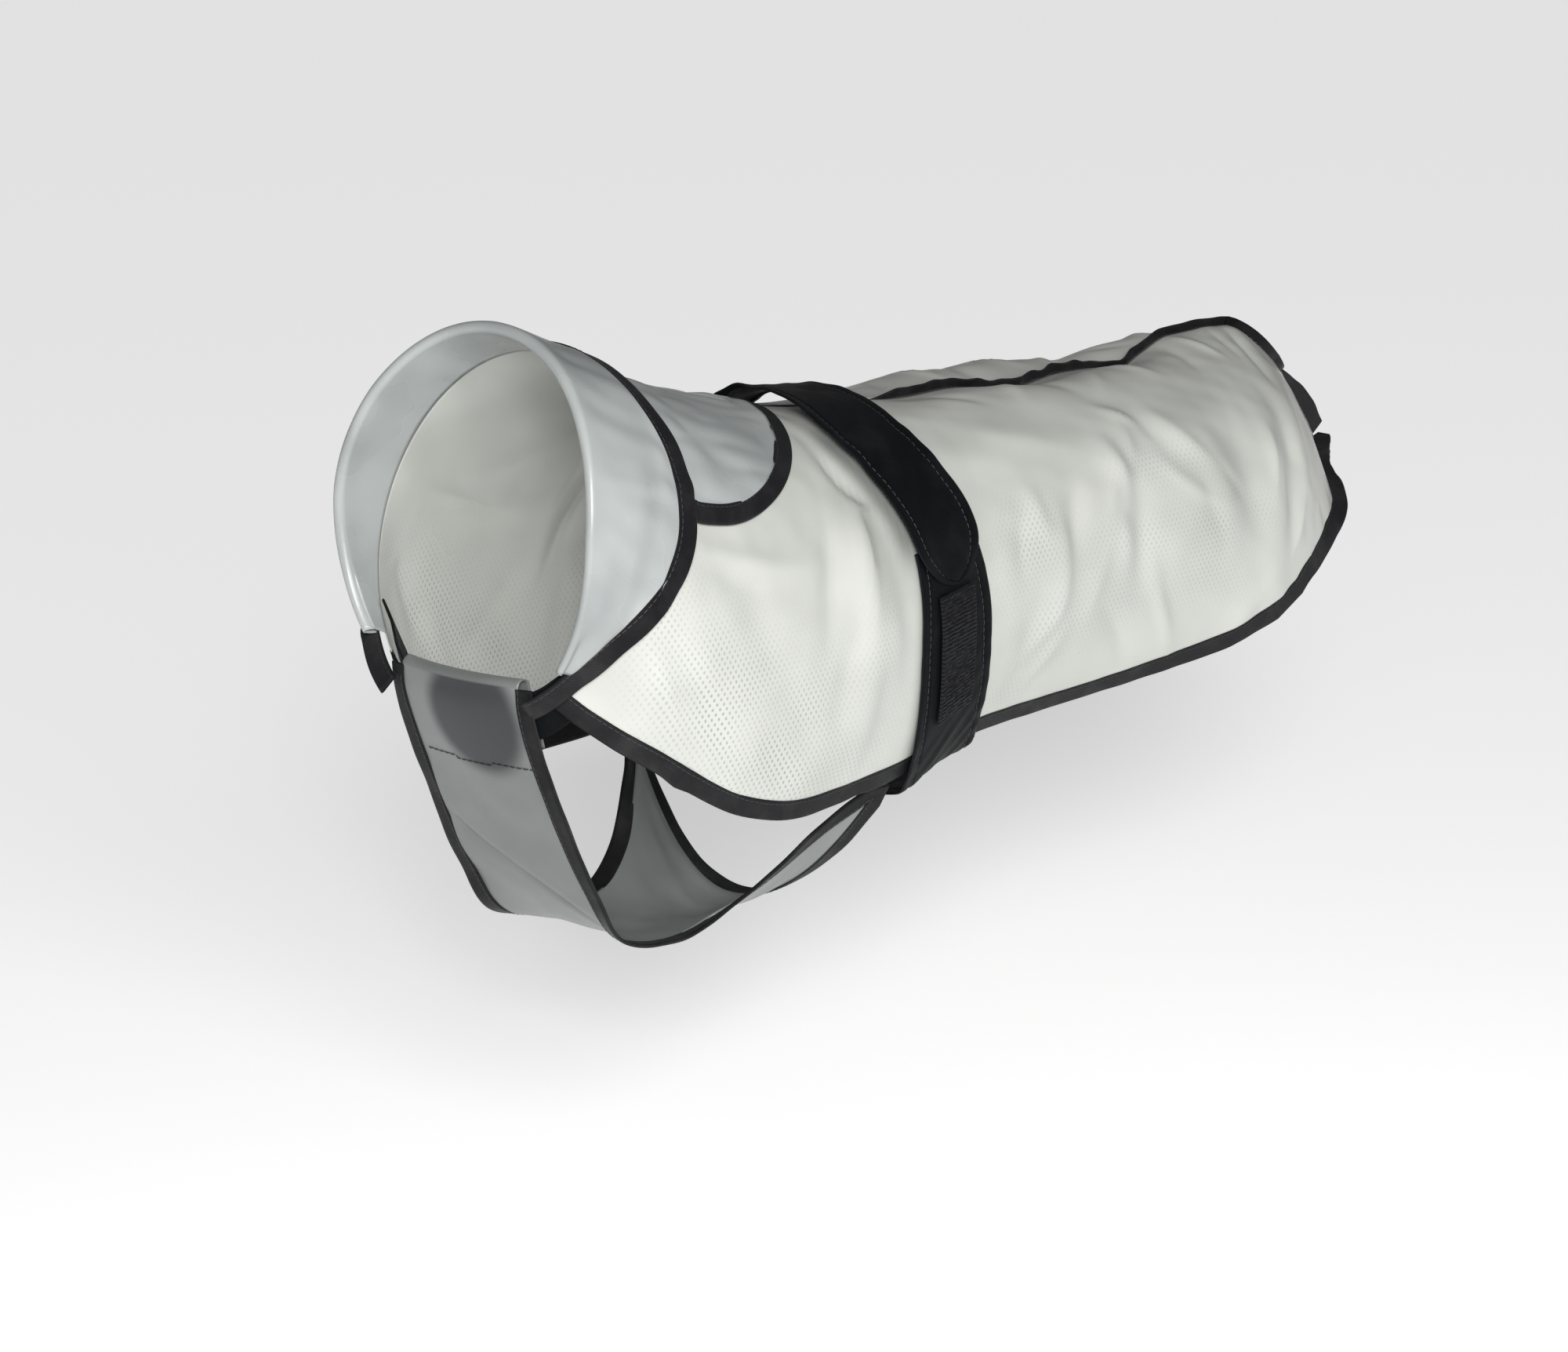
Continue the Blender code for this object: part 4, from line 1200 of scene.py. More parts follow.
# ---- Folded tape ---------------------------------------------------------------------------------
@dataclass
class FoldedTape:
    """Binding folded over an edge of film, with its two rounded sides and its row of stitches."""

    name: str
    node: str
    wardrobe: Wardrobe
    width: float = 0.0090
    wall: float = TAPE_WALL
    overlap: float = 0.0018
    waver: float = 0.00030
    ease: float = 0.0035  # how far a corner of the edge is rounded
    kinks: tuple[Kink, ...] = ()
    seed: int = 3
    loop: bool = False

    # Columns of the mesh as shares of its width, and the one that the stitches run along.
    SECTION = np.array([0, 0.01, 0.032, 0.075, 0.17, 0.3, 0.45, 0.6, 0.75, 0.87, 0.945, 0.982, 1])
    STITCHED = 4

    def rims(self, edge: Array, inside: Array, normals: Array, flare: Array | float) -> tuple:
        """Finds the tape's two sides beside a film edge.

        Args:
            edge: the film's edge in the middle of the tape's wall.
            inside: points of the film next to the edge.
            normals: outward normals.
            flare: degrees that the tape turns out from the film.

        Returns:
            Points beside the edge, and points at the fold.
        """
        shift = self.eased(edge) - edge
        edge, inside = edge + shift, inside + shift
        ahead = np.roll(edge, -1, 0) - edge
        if not self.loop:
            ahead[-1] = ahead[-2]
        behind = np.roll(ahead, 1, 0)
        if not self.loop:
            behind[0] = ahead[0]
        run = unit(unit(ahead) + unit(behind))
        beside = unit(np.cross(run, normals))
        beside *= np.sign(np.sum(beside * (edge - inside), -1, keepdims=True))
        stretch = 1 / np.maximum(np.sum(run * unit(ahead), -1, keepdims=True), 0.7)
        turn = np.radians(flare) * np.ones(len(edge))
        across = beside * np.cos(turn)[:, None] + normals * np.sin(turn)[:, None]
        bend = np.abs(np.sum(unit(edge - inside) * normals, -1, keepdims=True))
        near = edge + beside * (SEAM_GAP + bend * FILM_SOLID)
        near = near + normals * FILM_SOLID / 2 * np.sin(turn)[:, None]
        return near, near + across * self.width * stretch

    def eased(self, path: Array) -> Array:
        """Rounds the corners of a path and keeps its ends.

        Args:
            path: points of the path.

        Returns:
            The new points.
        """
        if self.loop:
            return path
        walked = travelled(path)
        gap = walked[:, None] - walked[None, :]
        share = bell(gap, self.ease) * np.gradient(walked)[None, :]
        ends = smooth(np.minimum(walked, walked[-1] - walked) / (3 * self.ease))[:, None]
        return path + (share @ path / share.sum(1, keepdims=True) - path) * ends

    def profile(self, reach: Array) -> Array:
        """Works out the wall across the tape: rounded sides, plump toward the fold.

        Args:
            reach: distances across the tape.

        Returns:
            The wall there.
        """
        near = np.minimum(reach, self.width + self.overlap - reach)
        share = reach / (self.width + self.overlap)
        plump, pressed = 0.26 * fade(share, 0.35, 0.5), 0.18 * bell(share - 0.2, 0.06)
        body = 0.80 + plump - pressed
        return self.wall * np.maximum(rounded(near, self.wall / 2, 0.0) * body, 0.06)

    def sew(self, near: Array, far: Array, normals: Array) -> Pieces:
        """Builds the tape between its two sides, and its stitches.

        Args:
            near: the side beside the film.
            far: the fold.
            normals: outward normals.

        Returns:
            The tape and its stitches.
        """
        walked = travelled(near)
        across = unit(far - near)
        near = near - across * self.overlap
        wide = np.linalg.norm(far - near, axis=-1)
        wobble = Drift(0.050, 0).over(walked, 0.0, self.seed) * self.waver
        push = 0 * walked
        for kink in self.kinks:
            push = push + kink.push * bell(walked - kink.at, kink.half)
        far = far + across * (wobble * 0.8 + push)[:, None]
        section = self.SECTION[None, :, None]
        points = near[:, None] * (1 - section) + far[:, None] * section
        lean = unit(np.cross(np.gradient(points, axis=0), np.gradient(points, axis=1)))
        lean *= np.sign(np.sum(lean * normals[:, None], -1, keepdims=True))
        roll = Drift(0.032, 1).over(walked, 0.0, self.seed)[:, None] * self.waver * 1.6
        swell = roll * (self.SECTION[None, :] - 0.3) + 0.4 * wobble[:, None] + 0.8 * push[:, None]
        points = points + lean * swell[..., None]
        reach = self.SECTION[None, :] * wide[:, None]
        wall = self.profile(self.SECTION * (self.width + self.overlap))[None, :] + 0 * reach
        tape = Cloth(self.name, points, lean, wall, self.loop).build()
        dress(tape, self.wardrobe.tape, Slot.TAPE, self.node)
        out = lean[:, self.STITCHED]
        path = points[:, self.STITCHED] + out * (wall[:, self.STITCHED, None] / 2)
        thread = Stitches().build(f"{self.name}_stitches", path, out)
        dress(thread, self.wardrobe.thread, Slot.TAPE)
        return [tape, thread]

    def bind(self, points: Array, normals: Array) -> Pieces:
        """Binds one side, the last row and the other side of a piece of film.

        Args:
            points: grid of the film's inner face.
            normals: outward normals.

        Returns:
            The tape and its stitches.
        """
        lean = outline(normals)
        edge, inside = outline(points) + lean * FILM_SOLID / 2, outline(points, 2)
        near, far = self.rims(edge, inside, lean, 0.0)
        return self.sew(near, far, lean)


# ---- Side panels ---------------------------------------------------------------------------------
@dataclass
class SidePanel:
    """One half of the coat: film from the back seam to the hem, with its hem tape."""

    side: str
    flank: int
    wardrobe: Wardrobe
    creases: tuple[Crease, ...]
    hem_kinks: tuple[Kink, ...]
    cut: tuple = (0.262, 0.700)
    cut_area: float = 0.127
    depth: float = 1.7  # of the creases, times their height
    fine: int = 6  # rows of the mesh to each row of the plan
    steps: int = 88
    cockle: Drift = Drift(0.045, 11, 0.00035)
    crinkle: Drift = Drift(0.018, 16, 0.00010)
    dot_drift: Drift = Drift(0.03, 29, 0.28)
    haze: float = 0.88
    haze_drift: Drift = Drift(0.06, 41, 0.05)
    belt_painted_shade: float = 0.55

    @property
    def rings(self) -> Array:
        """Rows of the grid: closer beside the seam's puckers and round the tail hole.

        Returns:
            Ring of each row.
        """
        turn = np.radians(np.linspace(180.0, 0.0, 9))
        rows = [np.linspace(0.0, 4.2, 13), np.linspace(4.2, 7.72, 19)[1:]]
        rows.append(np.mean(TAIL_HOLE) + np.ptp(TAIL_HOLE) / 2 * np.cos(turn))
        rows.append(np.linspace(9.4, TAIL_EDGE.rows[0].ring, 5))
        return finer(np.concatenate(rows), self.fine)

    def edge_angles(self, ring: Array) -> Array:
        """Works out the top edge: beside the seam, and round the tail hole.

        Args:
            ring: rings.

        Returns:
            Angle of the edge at each ring.
        """
        start, end = TAIL_HOLE
        along = np.clip((ring - (start + end) / 2) / ((end - start) / 2), -1, 1)
        reach = np.maximum(TAIL_HOLE_HALF_WIDTH * np.sqrt(1 - along**2), FIN_HALF + SEAM_GAP)
        return SKIN.angle_at_width(ring, reach)

    def plan(self) -> tuple:
        """Lays the grid out on the skin.

        Returns:
            Ring and angle of every point.
        """
        row = self.rings[:, None]
        top = self.edge_angles(row)
        steps = np.linspace(0, 1, self.steps)
        ring = row + 0 * steps
        for _ in range(6):
            angle = top + (RINGS.at("hem", ring) - top) * steps
            rear = TAIL_EDGE.at("ring", angle)
            slant = (rear - STRAIGHT_TO) / (TAIL_EDGE.rows[0].ring - STRAIGHT_TO)
            ring = np.where(row > STRAIGHT_TO, STRAIGHT_TO + (row - STRAIGHT_TO) * slant, row)
        return ring, angle

    def base(self) -> tuple:
        """Works out the inner face of the film.

        Returns:
            Points, outward normals and angles.
        """
        ring, angle = self.plan()
        points = SKIN.points(ring, angle * self.flank)
        points[..., 1] = -self.flank * np.maximum(-self.flank * points[..., 1], FIN_HALF + SEAM_GAP)
        points[..., 1] += PUCKERS.at("lean", ring) * beside_seam(angle)
        return points, SKIN.outward(ring, angle * self.flank), angle

    def relief(self, ring: Array, angle: Array) -> Array:
        """Adds up the fine creases, none of them under belt, flap or collar.

        Args:
            ring: rings.
            angle: angles, in degrees.

        Returns:
            Height at each point.
        """
        height = self.depth * crease_height(self.creases, ring, angle, 2)
        height = height + self.depth * crease_height(SEAM_CREASES, ring, angle, 2)
        x, y = on_flank(ring, angle)
        for wander in (self.cockle, self.crinkle):
            height = height + wander.over(x, y, self.flank)
        angles, rings = zip(*FLAP_EDGE.rows)
        flap = fade(ring, np.interp(angle, angles, rings) + 0.22, -0.2) * fade(angle, 66, -5)
        collar_edge = COLLAR_EDGE.at("ring", np.clip(angle, 0, COLLAR_EDGE.rows[-1].angle))
        collar = fade(ring, collar_edge + 0.34, -0.2)
        flat = np.maximum(np.maximum(SKIN.under_belt(ring, angle), flap), collar)
        return height * (1 - flat) * fade(angle, 0, 4.0)

    def marks(self, ring: Array, angle: Array) -> dict[str, Array]:
        """Works out where soft dots show, where painted shade darkens the film in front of the
        belt, and where it is clouded.

        Args:
            ring: rings.
            angle: angles, in degrees.

        Returns:
            The marks by name.
        """
        x, y = on_flank(ring, angle)
        dots = np.zeros(ring.shape)
        for patch in DOT_PATCHES:
            ahead, around = on_flank(ring - patch.ring, angle - patch.angle)
            far = (ahead / patch.along) ** 2 + (around / patch.around) ** 2
            dots = np.maximum(dots, patch.strength * np.exp(-(far**1.3)))
        dots = dots * (0.82 + self.dot_drift.over(x, y, self.flank))
        # Painted shade: a dark band on the film just in front of the belt's front edge.
        on_strap = np.clip(angle, 0, BACK_STRAP.rows[-1].angle)
        width = BACK_STRAP.at("width", on_strap)
        front = (BACK_STRAP.at("ring", on_strap) - ring) * RING_PITCH - width / 2
        shade = smooth(1 - np.abs(front + 0.001) / 0.012)
        shade = shade * fade(angle, 14, 16) * fade(angle, 74, -14)
        haze = self.haze + self.haze_drift.over(x, y, self.flank)
        dots, haze = np.clip(dots, 0, 1), np.clip(haze, 0, 0.95)
        return film_marks(haze, dots, self.belt_painted_shade * shade)

    def build(self) -> Pieces:
        """Makes the film and its hem tape.

        Returns:
            The pieces.
        """
        points, normals, angle = self.base()
        ring, _ = self.plan()
        height = self.relief(ring, angle) + FILM_SOLID / 2
        raised = points + normals * height[..., None]
        toward = grid_normals(raised, normals)
        marks = self.marks(ring, angle)
        film = Cloth(f"film_{self.side}", raised, toward, FILM_WALL, marks=marks).build()
        dress(film, self.wardrobe.film, Slot.FILM, f"side_panel_{self.side}")
        tapes = self.hem(raised, normals, angle)
        return [film, *tapes]

    def hem(self, middle: Array, normals: Array, angle: Array) -> Pieces:
        """Makes the tape from the throat along the hem and up the tail end.

        Args:
            middle: points in the middle of the film's wall.
            normals: outward normals.
            angle: angles of the points.

        Returns:
            The tape and its stitches.
        """
        edge = np.concatenate([middle[:, -1], middle[-1, -2::-1]])
        inside = np.concatenate([middle[:, -3], middle[-3, -2::-1]])
        lean = np.concatenate([normals[:, -1], normals[-1, -2::-1]])
        flare = np.concatenate([0 * self.rings, TAIL_EDGE.at("flare", angle[-1, -2::-1])])
        keep = np.concatenate([[True], np.linalg.norm(np.diff(edge, axis=0), axis=-1) > 0.0004])
        edge, inside, lean, flare = edge[keep], inside[keep], lean[keep], flare[keep]
        name, node = f"hem_tape_{self.side}", f"hem_binding_{self.side}"
        tape = FoldedTape(name, node, self.wardrobe, kinks=self.hem_kinks, seed=7 + self.flank)
        near, far = tape.rims(edge, inside, lean, flare)
        far[-1, 1] = near[-1, 1]
        return tape.sew(near, far, lean)


@dataclass
class SeamTapes:
    """The bound back seam, its tail end and the tape round the tail hole."""

    wardrobe: Wardrobe
    panels: tuple
    back_height: float = 0.0054
    tail_height: float = 0.0125
    hole_flare: float = 58.0
    hole_width: float = 0.0054
    end_gap: float = 0.01  # rings left free beside the tail hole
    lean: Drift = Drift(0.017, 19, 0.0013)
    pucker: Drift = Drift(0.014, 23, 0.0007)
    gathered_at: tuple = (5.7, 0.75)  # ring where the seam is gathered most, and how far round it
    steps: int = 260

    def fin(
        self, name: str, node: str, span: tuple, rise: tuple, full: float
    ) -> Pieces:
        """Makes a seam tape that stands up between the panels.

        Args:
            name: name of the piece.
            node: the solid that it stands for.
            span: first and last ring.
            rise: rings between which it rises to its full height.
            full: its full height.

        Returns:
            The tape and its stitches.
        """
        rings = self.panels[0].rings
        ring = np.linspace(*span, self.steps)
        middle = np.mean([panel.base()[0][:, 0] for panel in self.panels], 0)
        foot = np.stack([np.interp(ring, rings, column) for column in middle.T], -1)
        risen = fade(ring, rise[0], rise[1] - rise[0])
        height = FILM_SOLID + (full - FILM_SOLID) * risen
        out = SKIN.outward(ring, np.zeros_like(ring))
        walked = travelled(foot)
        gathered = 0.35 + bell(ring - self.gathered_at[0], self.gathered_at[1])
        pucker = self.pucker.over(walked, 0.0) * risen * gathered
        crest = foot + out * (height + pucker)[:, None]
        crest[:, 1] += self.lean.over(walked, 0.0) * risen * gathered
        tape = FoldedTape(
            name, node, self.wardrobe, width=full, wall=2 * FIN_HALF, overlap=0.0,
            waver=0.0002, ease=0.0012, seed=31,
        )
        aside = np.tile([0.0, -1.0, 0.0], (len(ring), 1))
        return tape.sew(foot, crest, aside)

    def tail_hole(self) -> Pieces:
        """Makes the tape round the inside of the tail hole.

        Returns:
            The tape and its stitches.
        """
        rings = self.panels[0].rings
        start, end = (int(np.argmin(np.abs(rings - ring))) for ring in TAIL_HOLE)
        sides = []
        for panel in self.panels:
            points, normals, _ = panel.base()
            rows = np.arange(start, end) if panel.flank > 0 else np.arange(end, start, -1)
            sides.append([points[rows, 0], points[rows, 2], normals[rows, 0]])
        edge, inside, normals = (np.concatenate(pair) for pair in zip(*sides))
        ends = [0, end - start]
        edge[ends, 1] = normals[ends, 1] = 0
        inside[ends] = SKIN.bare(np.array(TAIL_HOLE) + [-0.3, 0.3], 0.0)
        normals = unit(normals)
        name, node = "tail_hole_tape", "tail_hole_binding"
        tape = FoldedTape(name, node, self.wardrobe, self.hole_width, waver=0.0, loop=True)
        near, far = tape.rims(edge + normals * FILM_SOLID / 2, inside, normals, self.hole_flare)
        return tape.sew(near, far, normals)

    def build(self) -> Pieces:
        """Makes all the tapes on the midline.

        Returns:
            The pieces.
        """
        span, rise = (0.0, TAIL_HOLE[0] - self.end_gap), (4.12, 4.4)
        back = self.fin(BACK_SEAM, "back_seam_binding", span, rise, self.back_height)
        span, rise = (TAIL_HOLE[1] + self.end_gap, TAIL_EDGE.rows[0].ring), (9.1, 10.2)
        tail = self.fin("tail_seam_tape", "tail_seam_binding", span, rise, self.tail_height)
        return [*back, *tail, *self.tail_hole()]


# ---- Collar and nape flap ------------------------------------------------------------------------
@dataclass
class Collar:
    """Film folded over a stand, with tape on its free edge."""

    wardrobe: Wardrobe
    cut: tuple = (0.440, 0.094)
    cut_area: float = 0.0300
    columns: int = 210
    stand_rows: int = 14
    fold_rows: int = 9
    fall_rows: int = 26
    stand_haze: float = 0.86
    fall_haze: float = 0.88
    streaks: Drift = Drift(0.020, 53, 0.00055)
    swells: Drift = Drift(0.045, 57, 0.0007)
    girth_radius: float = 0.085  # turns an angle on the collar into metres
    crease: float = 0.0011  # height of the one sharp crease
    tape_end: float = 150.0  # angle where the tape ends, past the film's corner
    far_flare: float = 62.0  # how far the tape turns out at the far corner

    def sections(self) -> tuple:
        """Runs the section of stand, fold and fall round the neck.

        Returns:
            Points, and the angle of each row.
        """
        ends = COLLAR_EDGE.rows[-1].angle
        angle = np.linspace(-ends, ends, self.columns)
        place = np.abs(angle)
        zero = np.zeros(angle.shape)
        base, out = SKIN.points(zero, angle), SKIN.outward(zero, angle)
        stand = COLLAR_EDGE.at("stand", place)[:, None] * COLLAR_STAND
        edge_ring, lift = COLLAR_EDGE.at("ring", place), COLLAR_EDGE.at("lift", place)
        edge = SKIN.points(edge_ring, angle, lift)
        up = np.linspace(0, 0.98, self.stand_rows)
        rows = [base + NECK_AXIS * (LAYER_GAP + stand * share) for share in up]
        for turn in np.radians(np.linspace(0, 180, self.fold_rows)):
            rim = out * (1 - math.cos(turn)) + NECK_AXIS * math.sin(turn)
            rows.append(base + NECK_AXIS * stand + rim * COLLAR_FOLD)
        fold = rows[-1]
        for share in np.linspace(0, 1, self.fall_rows + 1)[1:]:
            ring = edge_ring * share - stand[:, 0] / RING_PITCH * (1 - share)
            on_skin = SKIN.points(np.maximum(ring, 0), angle, lift)
            blend = fade(ring, 0, 0.25)[:, None]
            rows.append((fold + (edge - fold) * share) * (1 - blend) + on_skin * blend)
        return np.stack(rows, 1), angle

    def relief(self, grid: Array, angle: Array) -> Array:
        """Works out the soft streaks that run from the fold to the edge.

        Args:
            grid: the collar's points.
            angle: angle of each row.

        Returns:
            Height at each point.
        """
        down = np.linspace(0, 1, grid.shape[1])[None, :]
        x = (np.radians(angle) * self.girth_radius)[:, None] + 0 * down
        relief = self.streaks.over(x, down * 0.02) + self.swells.over(x, down * 0.06)
        relief = relief + bell(x - 0.112 + 0.018 * down, 0.004) * self.crease
        return relief * fade(down, 0.42, 0.2) * fade(down, 1.0, -0.08)

    def tape(self) -> Pieces:
        """Makes the tape on the free edge, run on to the throat at both ends.

        Returns:
            The tape and its stitches.
        """
        film_end = COLLAR_EDGE.rows[-1].angle
        angle = np.linspace(-self.tape_end, self.tape_end, 330)
        on_film = np.minimum(np.abs(angle), film_end)
        past = np.clip((np.abs(angle) - film_end) / (self.tape_end - film_end), 0, 1)
        ring = COLLAR_EDGE.at("ring", on_film) - 0.05 * past
        lift = COLLAR_EDGE.at("lift", on_film) + FILM_SOLID / 2 + 0.0024 * past
        edge, inside = SKIN.points(ring, angle, lift), SKIN.points(ring - 0.06, angle, lift)
        normals = SKIN.outward(ring, angle)
        name, node = "collar_tape", "collar_binding"
        tape = FoldedTape(name, node, self.wardrobe, kinks=COLLAR_KINKS, seed=61)
        near, far = tape.rims(edge, inside, normals, self.far_flare * fade(angle, -112, -16))
        return tape.sew(near, far, normals)

    def build(self) -> Pieces:
        """Makes the collar and its tape.

        Returns:
            The pieces.
        """
        grid, angle = self.sections()
        outward = grid_normals(grid, grid - np.array([-0.25, 0.0, -0.02]))
        middle = grid + outward * (FILM_SOLID / 2)
        middle = middle + outward * self.relief(grid, angle)[..., None]
        haze = np.full(grid.shape[:2], self.stand_haze)
        haze[:, self.stand_rows + self.fold_rows :] = self.fall_haze
        facing, marks = grid_normals(middle, outward), film_marks(haze)
        collar = Cloth("collar_film", middle, facing, FILM_WALL, marks=marks).build()
        dress(collar, self.wardrobe.collar_film, Slot.FILM, "collar")
        tapes = self.tape()
        return [collar, *tapes]


@dataclass
class NapeFlap:
    """Rounded film between collar and belt, with tape round it."""

    wardrobe: Wardrobe
    cut: tuple = (0.190, 0.150)
    cut_area: float = 0.0222
    half_columns: int = 60
    rows: int = 64
    haze: float = 0.87
    ripples: Drift = Drift(0.026, 71)
    ripple: float = 0.0009
    swells: Drift = Drift(0.05, 73, 0.0004)

    def grid(self) -> tuple:
        """Lays out the flap's inner face.

        Returns:
            Points, normals, rings and angles.
        """
        out = np.linspace(0, FLAP_EDGE.last, self.half_columns)
        at = np.concatenate([np.linspace(FLAP_EDGE.last, 0, self.half_columns), out[1:]])
        side = np.where(np.arange(len(at)) < self.half_columns, 1, -1)
        angle = FLAP_EDGE.at("angle", at) * side
        share = np.linspace(0, 1, self.rows)[:, None]
        ring = FLAP_ROOT + (FLAP_EDGE.at("ring", at)[None, :] - FLAP_ROOT) * share
        angle = np.broadcast_to(angle[None, :], ring.shape)
        lift = FILM_SOLID + LAYER_GAP + (FLAP_SOLID - FILM_SOLID) / 2
        return SKIN.points(ring, angle, lift), SKIN.outward(ring, angle), ring, angle

    def build(self) -> Pieces:
        """Makes the flap and its tape.

        Returns:
            The pieces.
        """
        points, normals, ring, angle = self.grid()
        x, y = on_flank(ring, angle)
        relief = np.abs(self.ripples.over(x * 0.5, y)) * self.ripple + self.swells.over(x, y)
        relief = np.maximum(relief * fade(ring, 0.5, 0.3) + 0.0002, 0.0)
        middle = points + normals * (FILM_SOLID / 2 + relief)[..., None]
        facing, marks = grid_normals(middle, normals), film_marks(np.full(ring.shape, self.haze))
        flap = Cloth("nape_flap_film", middle, facing, FILM_WALL, marks=marks).build()
        dress(flap, self.wardrobe.collar_film, Slot.FILM, "nape_flap")
        tape = FoldedTape("nape_flap_tape", "nape_flap_binding", self.wardrobe, seed=83)
        tapes = tape.bind(points, normals)
        return [flap, *tapes]


# ---- Belt ----------------------------------------------------------------------------------------
@dataclass
class Belt:
    """Black nylon belt: back strap, belly strap and the loop strip on it."""

    wardrobe: Wardrobe
    strap_end: float = 77.5
    end_radius: float = 0.024
    loop_span: tuple = (79.0, 108.0)
    loop_width: float = 0.030
    loop_pitch: float = 0.0021  # distance between the ribs of loops
    loop_wobble: Drift = Drift(0.006, 101, 0.0007)
    loop_fuzz: Drift = Drift(0.004, 103, 0.00010)
    hem: float = 0.0065  # from the edge to the line of stitches
    groove: float = 0.0008  # depth of the line of stitches
    rumples: Drift = Drift(0.020, 0, 0.0006)
    swells: Drift = Drift(0.055, 2, 0.0005)
    columns: int = 44
    back_cut: tuple = (0.060, 0.420)
    belly_cut: tuple = (0.062, 0.220)

    @staticmethod
    def strap(places: Table, angle: Array, across: int, width: Array, extra: float = 0.0) -> tuple:
        """Lays a strap on the belt's centre line.

        Args:
            places: the strap's table.
            angle: a row for each angle.
            across: columns.
            width: width of each row.
            extra: lift above the strap's own.

        Returns:
            Points of the inner face and outward normals.
        """
        centre, lift = places.at("ring", angle), places.at("lift", angle) + extra
        span = SKIN.bare(centre + 0.3, angle) - SKIN.bare(centre - 0.3, angle)
        pitch = np.linalg.norm(span, axis=-1) / 0.6
        side = np.linspace(-0.5, 0.5, across)[None, :]
        ring = centre[:, None] + (width / pitch)[:, None] * side
        around = np.broadcast_to(angle[:, None], ring.shape)
        points = SKIN.points(ring, around, lift[:, None])
        return points, grid_normals(points, SKIN.outward(ring, around))

    def surface(
        self, points: Array, normals: Array, width: Array, seed: int, rumple: Array
    ) -> tuple[Array, Array, Array]:
        """Rounds the strap's edges, presses its stitch lines in and rumples it.

        Args:
            points: points of the inner face.
            normals: outward normals.
            width: width of each row.
            seed: which wander.
            rumple: strength of the rumples in each row.

        Returns:
            Points in the middle of the wall, their normals and the wall.
        """
        side = np.linspace(-0.5, 0.5, points.shape[1])[None, :]
        inset = (0.5 - np.abs(side)) * width[:, None]
        wall = WEBBING * rounded(inset, WEBBING * 0.6, 0.01)
        groove = bell(inset - self.hem, 0.0010) * self.groove
        walked = np.mean(travelled(points), 1)[:, None]
        across = side * width[:, None]
        waves = self.rumples.over(walked + across * 0.8, across * 0.3, seed)
        waves = waves + self.swells.over(walked, across, seed)
        lift = np.maximum(waves, -0.0003) * rumple[:, None] - groove
        middle = points + normals * (WEBBING / 2 + lift)[..., None]
        return middle, grid_normals(middle, normals), wall

    def seams(
        self, name: str, middle: Array, normals: Array, wall: Array, width: Array
    ) -> Pieces:
        """Sews along the strap's two grooves.

        Args:
            name: name of the strap.
            middle: points in the middle of its wall.
            normals: outward normals.
            wall: wall at each point.
            width: width of each row.

        Returns:
            Both rows of stitches.
        """
        rows, columns = np.arange(len(middle)), middle.shape[1] - 1
        share = np.clip(self.hem / np.maximum(width, 0.02), 0, 0.45)
        top = middle + normals * (wall / 2)[..., None]
        pieces = []
        for label, side in (("front", share), ("rear", 1 - share)):
            at = side * columns
            low = np.clip(np.floor(at).astype(int), 0, columns - 1)
            part = (at - low)[:, None]
            path = top[rows, low] * (1 - part) + top[rows, low + 1] * part
            row = Stitches(pitch=0.0038, length=0.0030)
            thread = row.build(f"{name}_{label}_stitches", path, normals[rows, low])
            dress(thread, self.wardrobe.thread, Slot.NYLON)
            pieces.append(thread)
        return pieces

    def back_strap(self) -> Pieces:
        """Makes the strap from the belly over the back to its rounded end on the left flank.

        Returns:
            The strap and its stitches.
        """
        turn = np.radians(np.linspace(0, 90, 40))
        tip = self.strap_end - np.degrees(self.end_radius * (1 - np.sin(turn)) / FLANK_RADIUS)
        angle = np.concatenate([np.linspace(BACK_STRAP.rows[0].angle, tip[0], 330)[:-1], tip])
        left = np.radians(self.strap_end - angle) * FLANK_RADIUS
        width = BACK_STRAP.at("width", angle) * rounded(left, self.end_radius, 0.012)
        points, normals = self.strap(BACK_STRAP, angle, self.columns, width)
        calm = 1 - 0.75 * fade(angle, 30, 25)
        middle, normals, wall = self.surface(points, normals, width, 91, calm)
        strap = Cloth("belt_over_back", middle, normals, wall).build()
        dress(strap, self.wardrobe.nylon, Slot.NYLON, "belt_back_strap")
        seams = self.seams("belt_over_back", middle, normals, wall, width)
        return [strap, *seams]

    def belly_strap(self) -> Pieces:
        """Makes the strap from under the rounded end down the left flank to the belly.

        Returns:
            The strap and its stitches.
        """
        angle = np.linspace(BELLY_STRAP.rows[0].angle, BELLY_STRAP.rows[-1].angle, 190)
        width = BELLY_STRAP.at("width", angle)
        points, normals = self.strap(BELLY_STRAP, angle, self.columns, width)
        rumple = 0.25 + 0.9 * fade(angle, 108, 14)
        middle, normals, wall = self.surface(points, normals, width, 97, rumple)
        strap = Cloth("belt_under_belly", middle, normals, wall).build()
        dress(strap, self.wardrobe.nylon, Slot.NYLON, "belt_belly_strap")
        seams = self.seams("belt_under_belly", middle, normals, wall, width)
        return [strap, *seams]

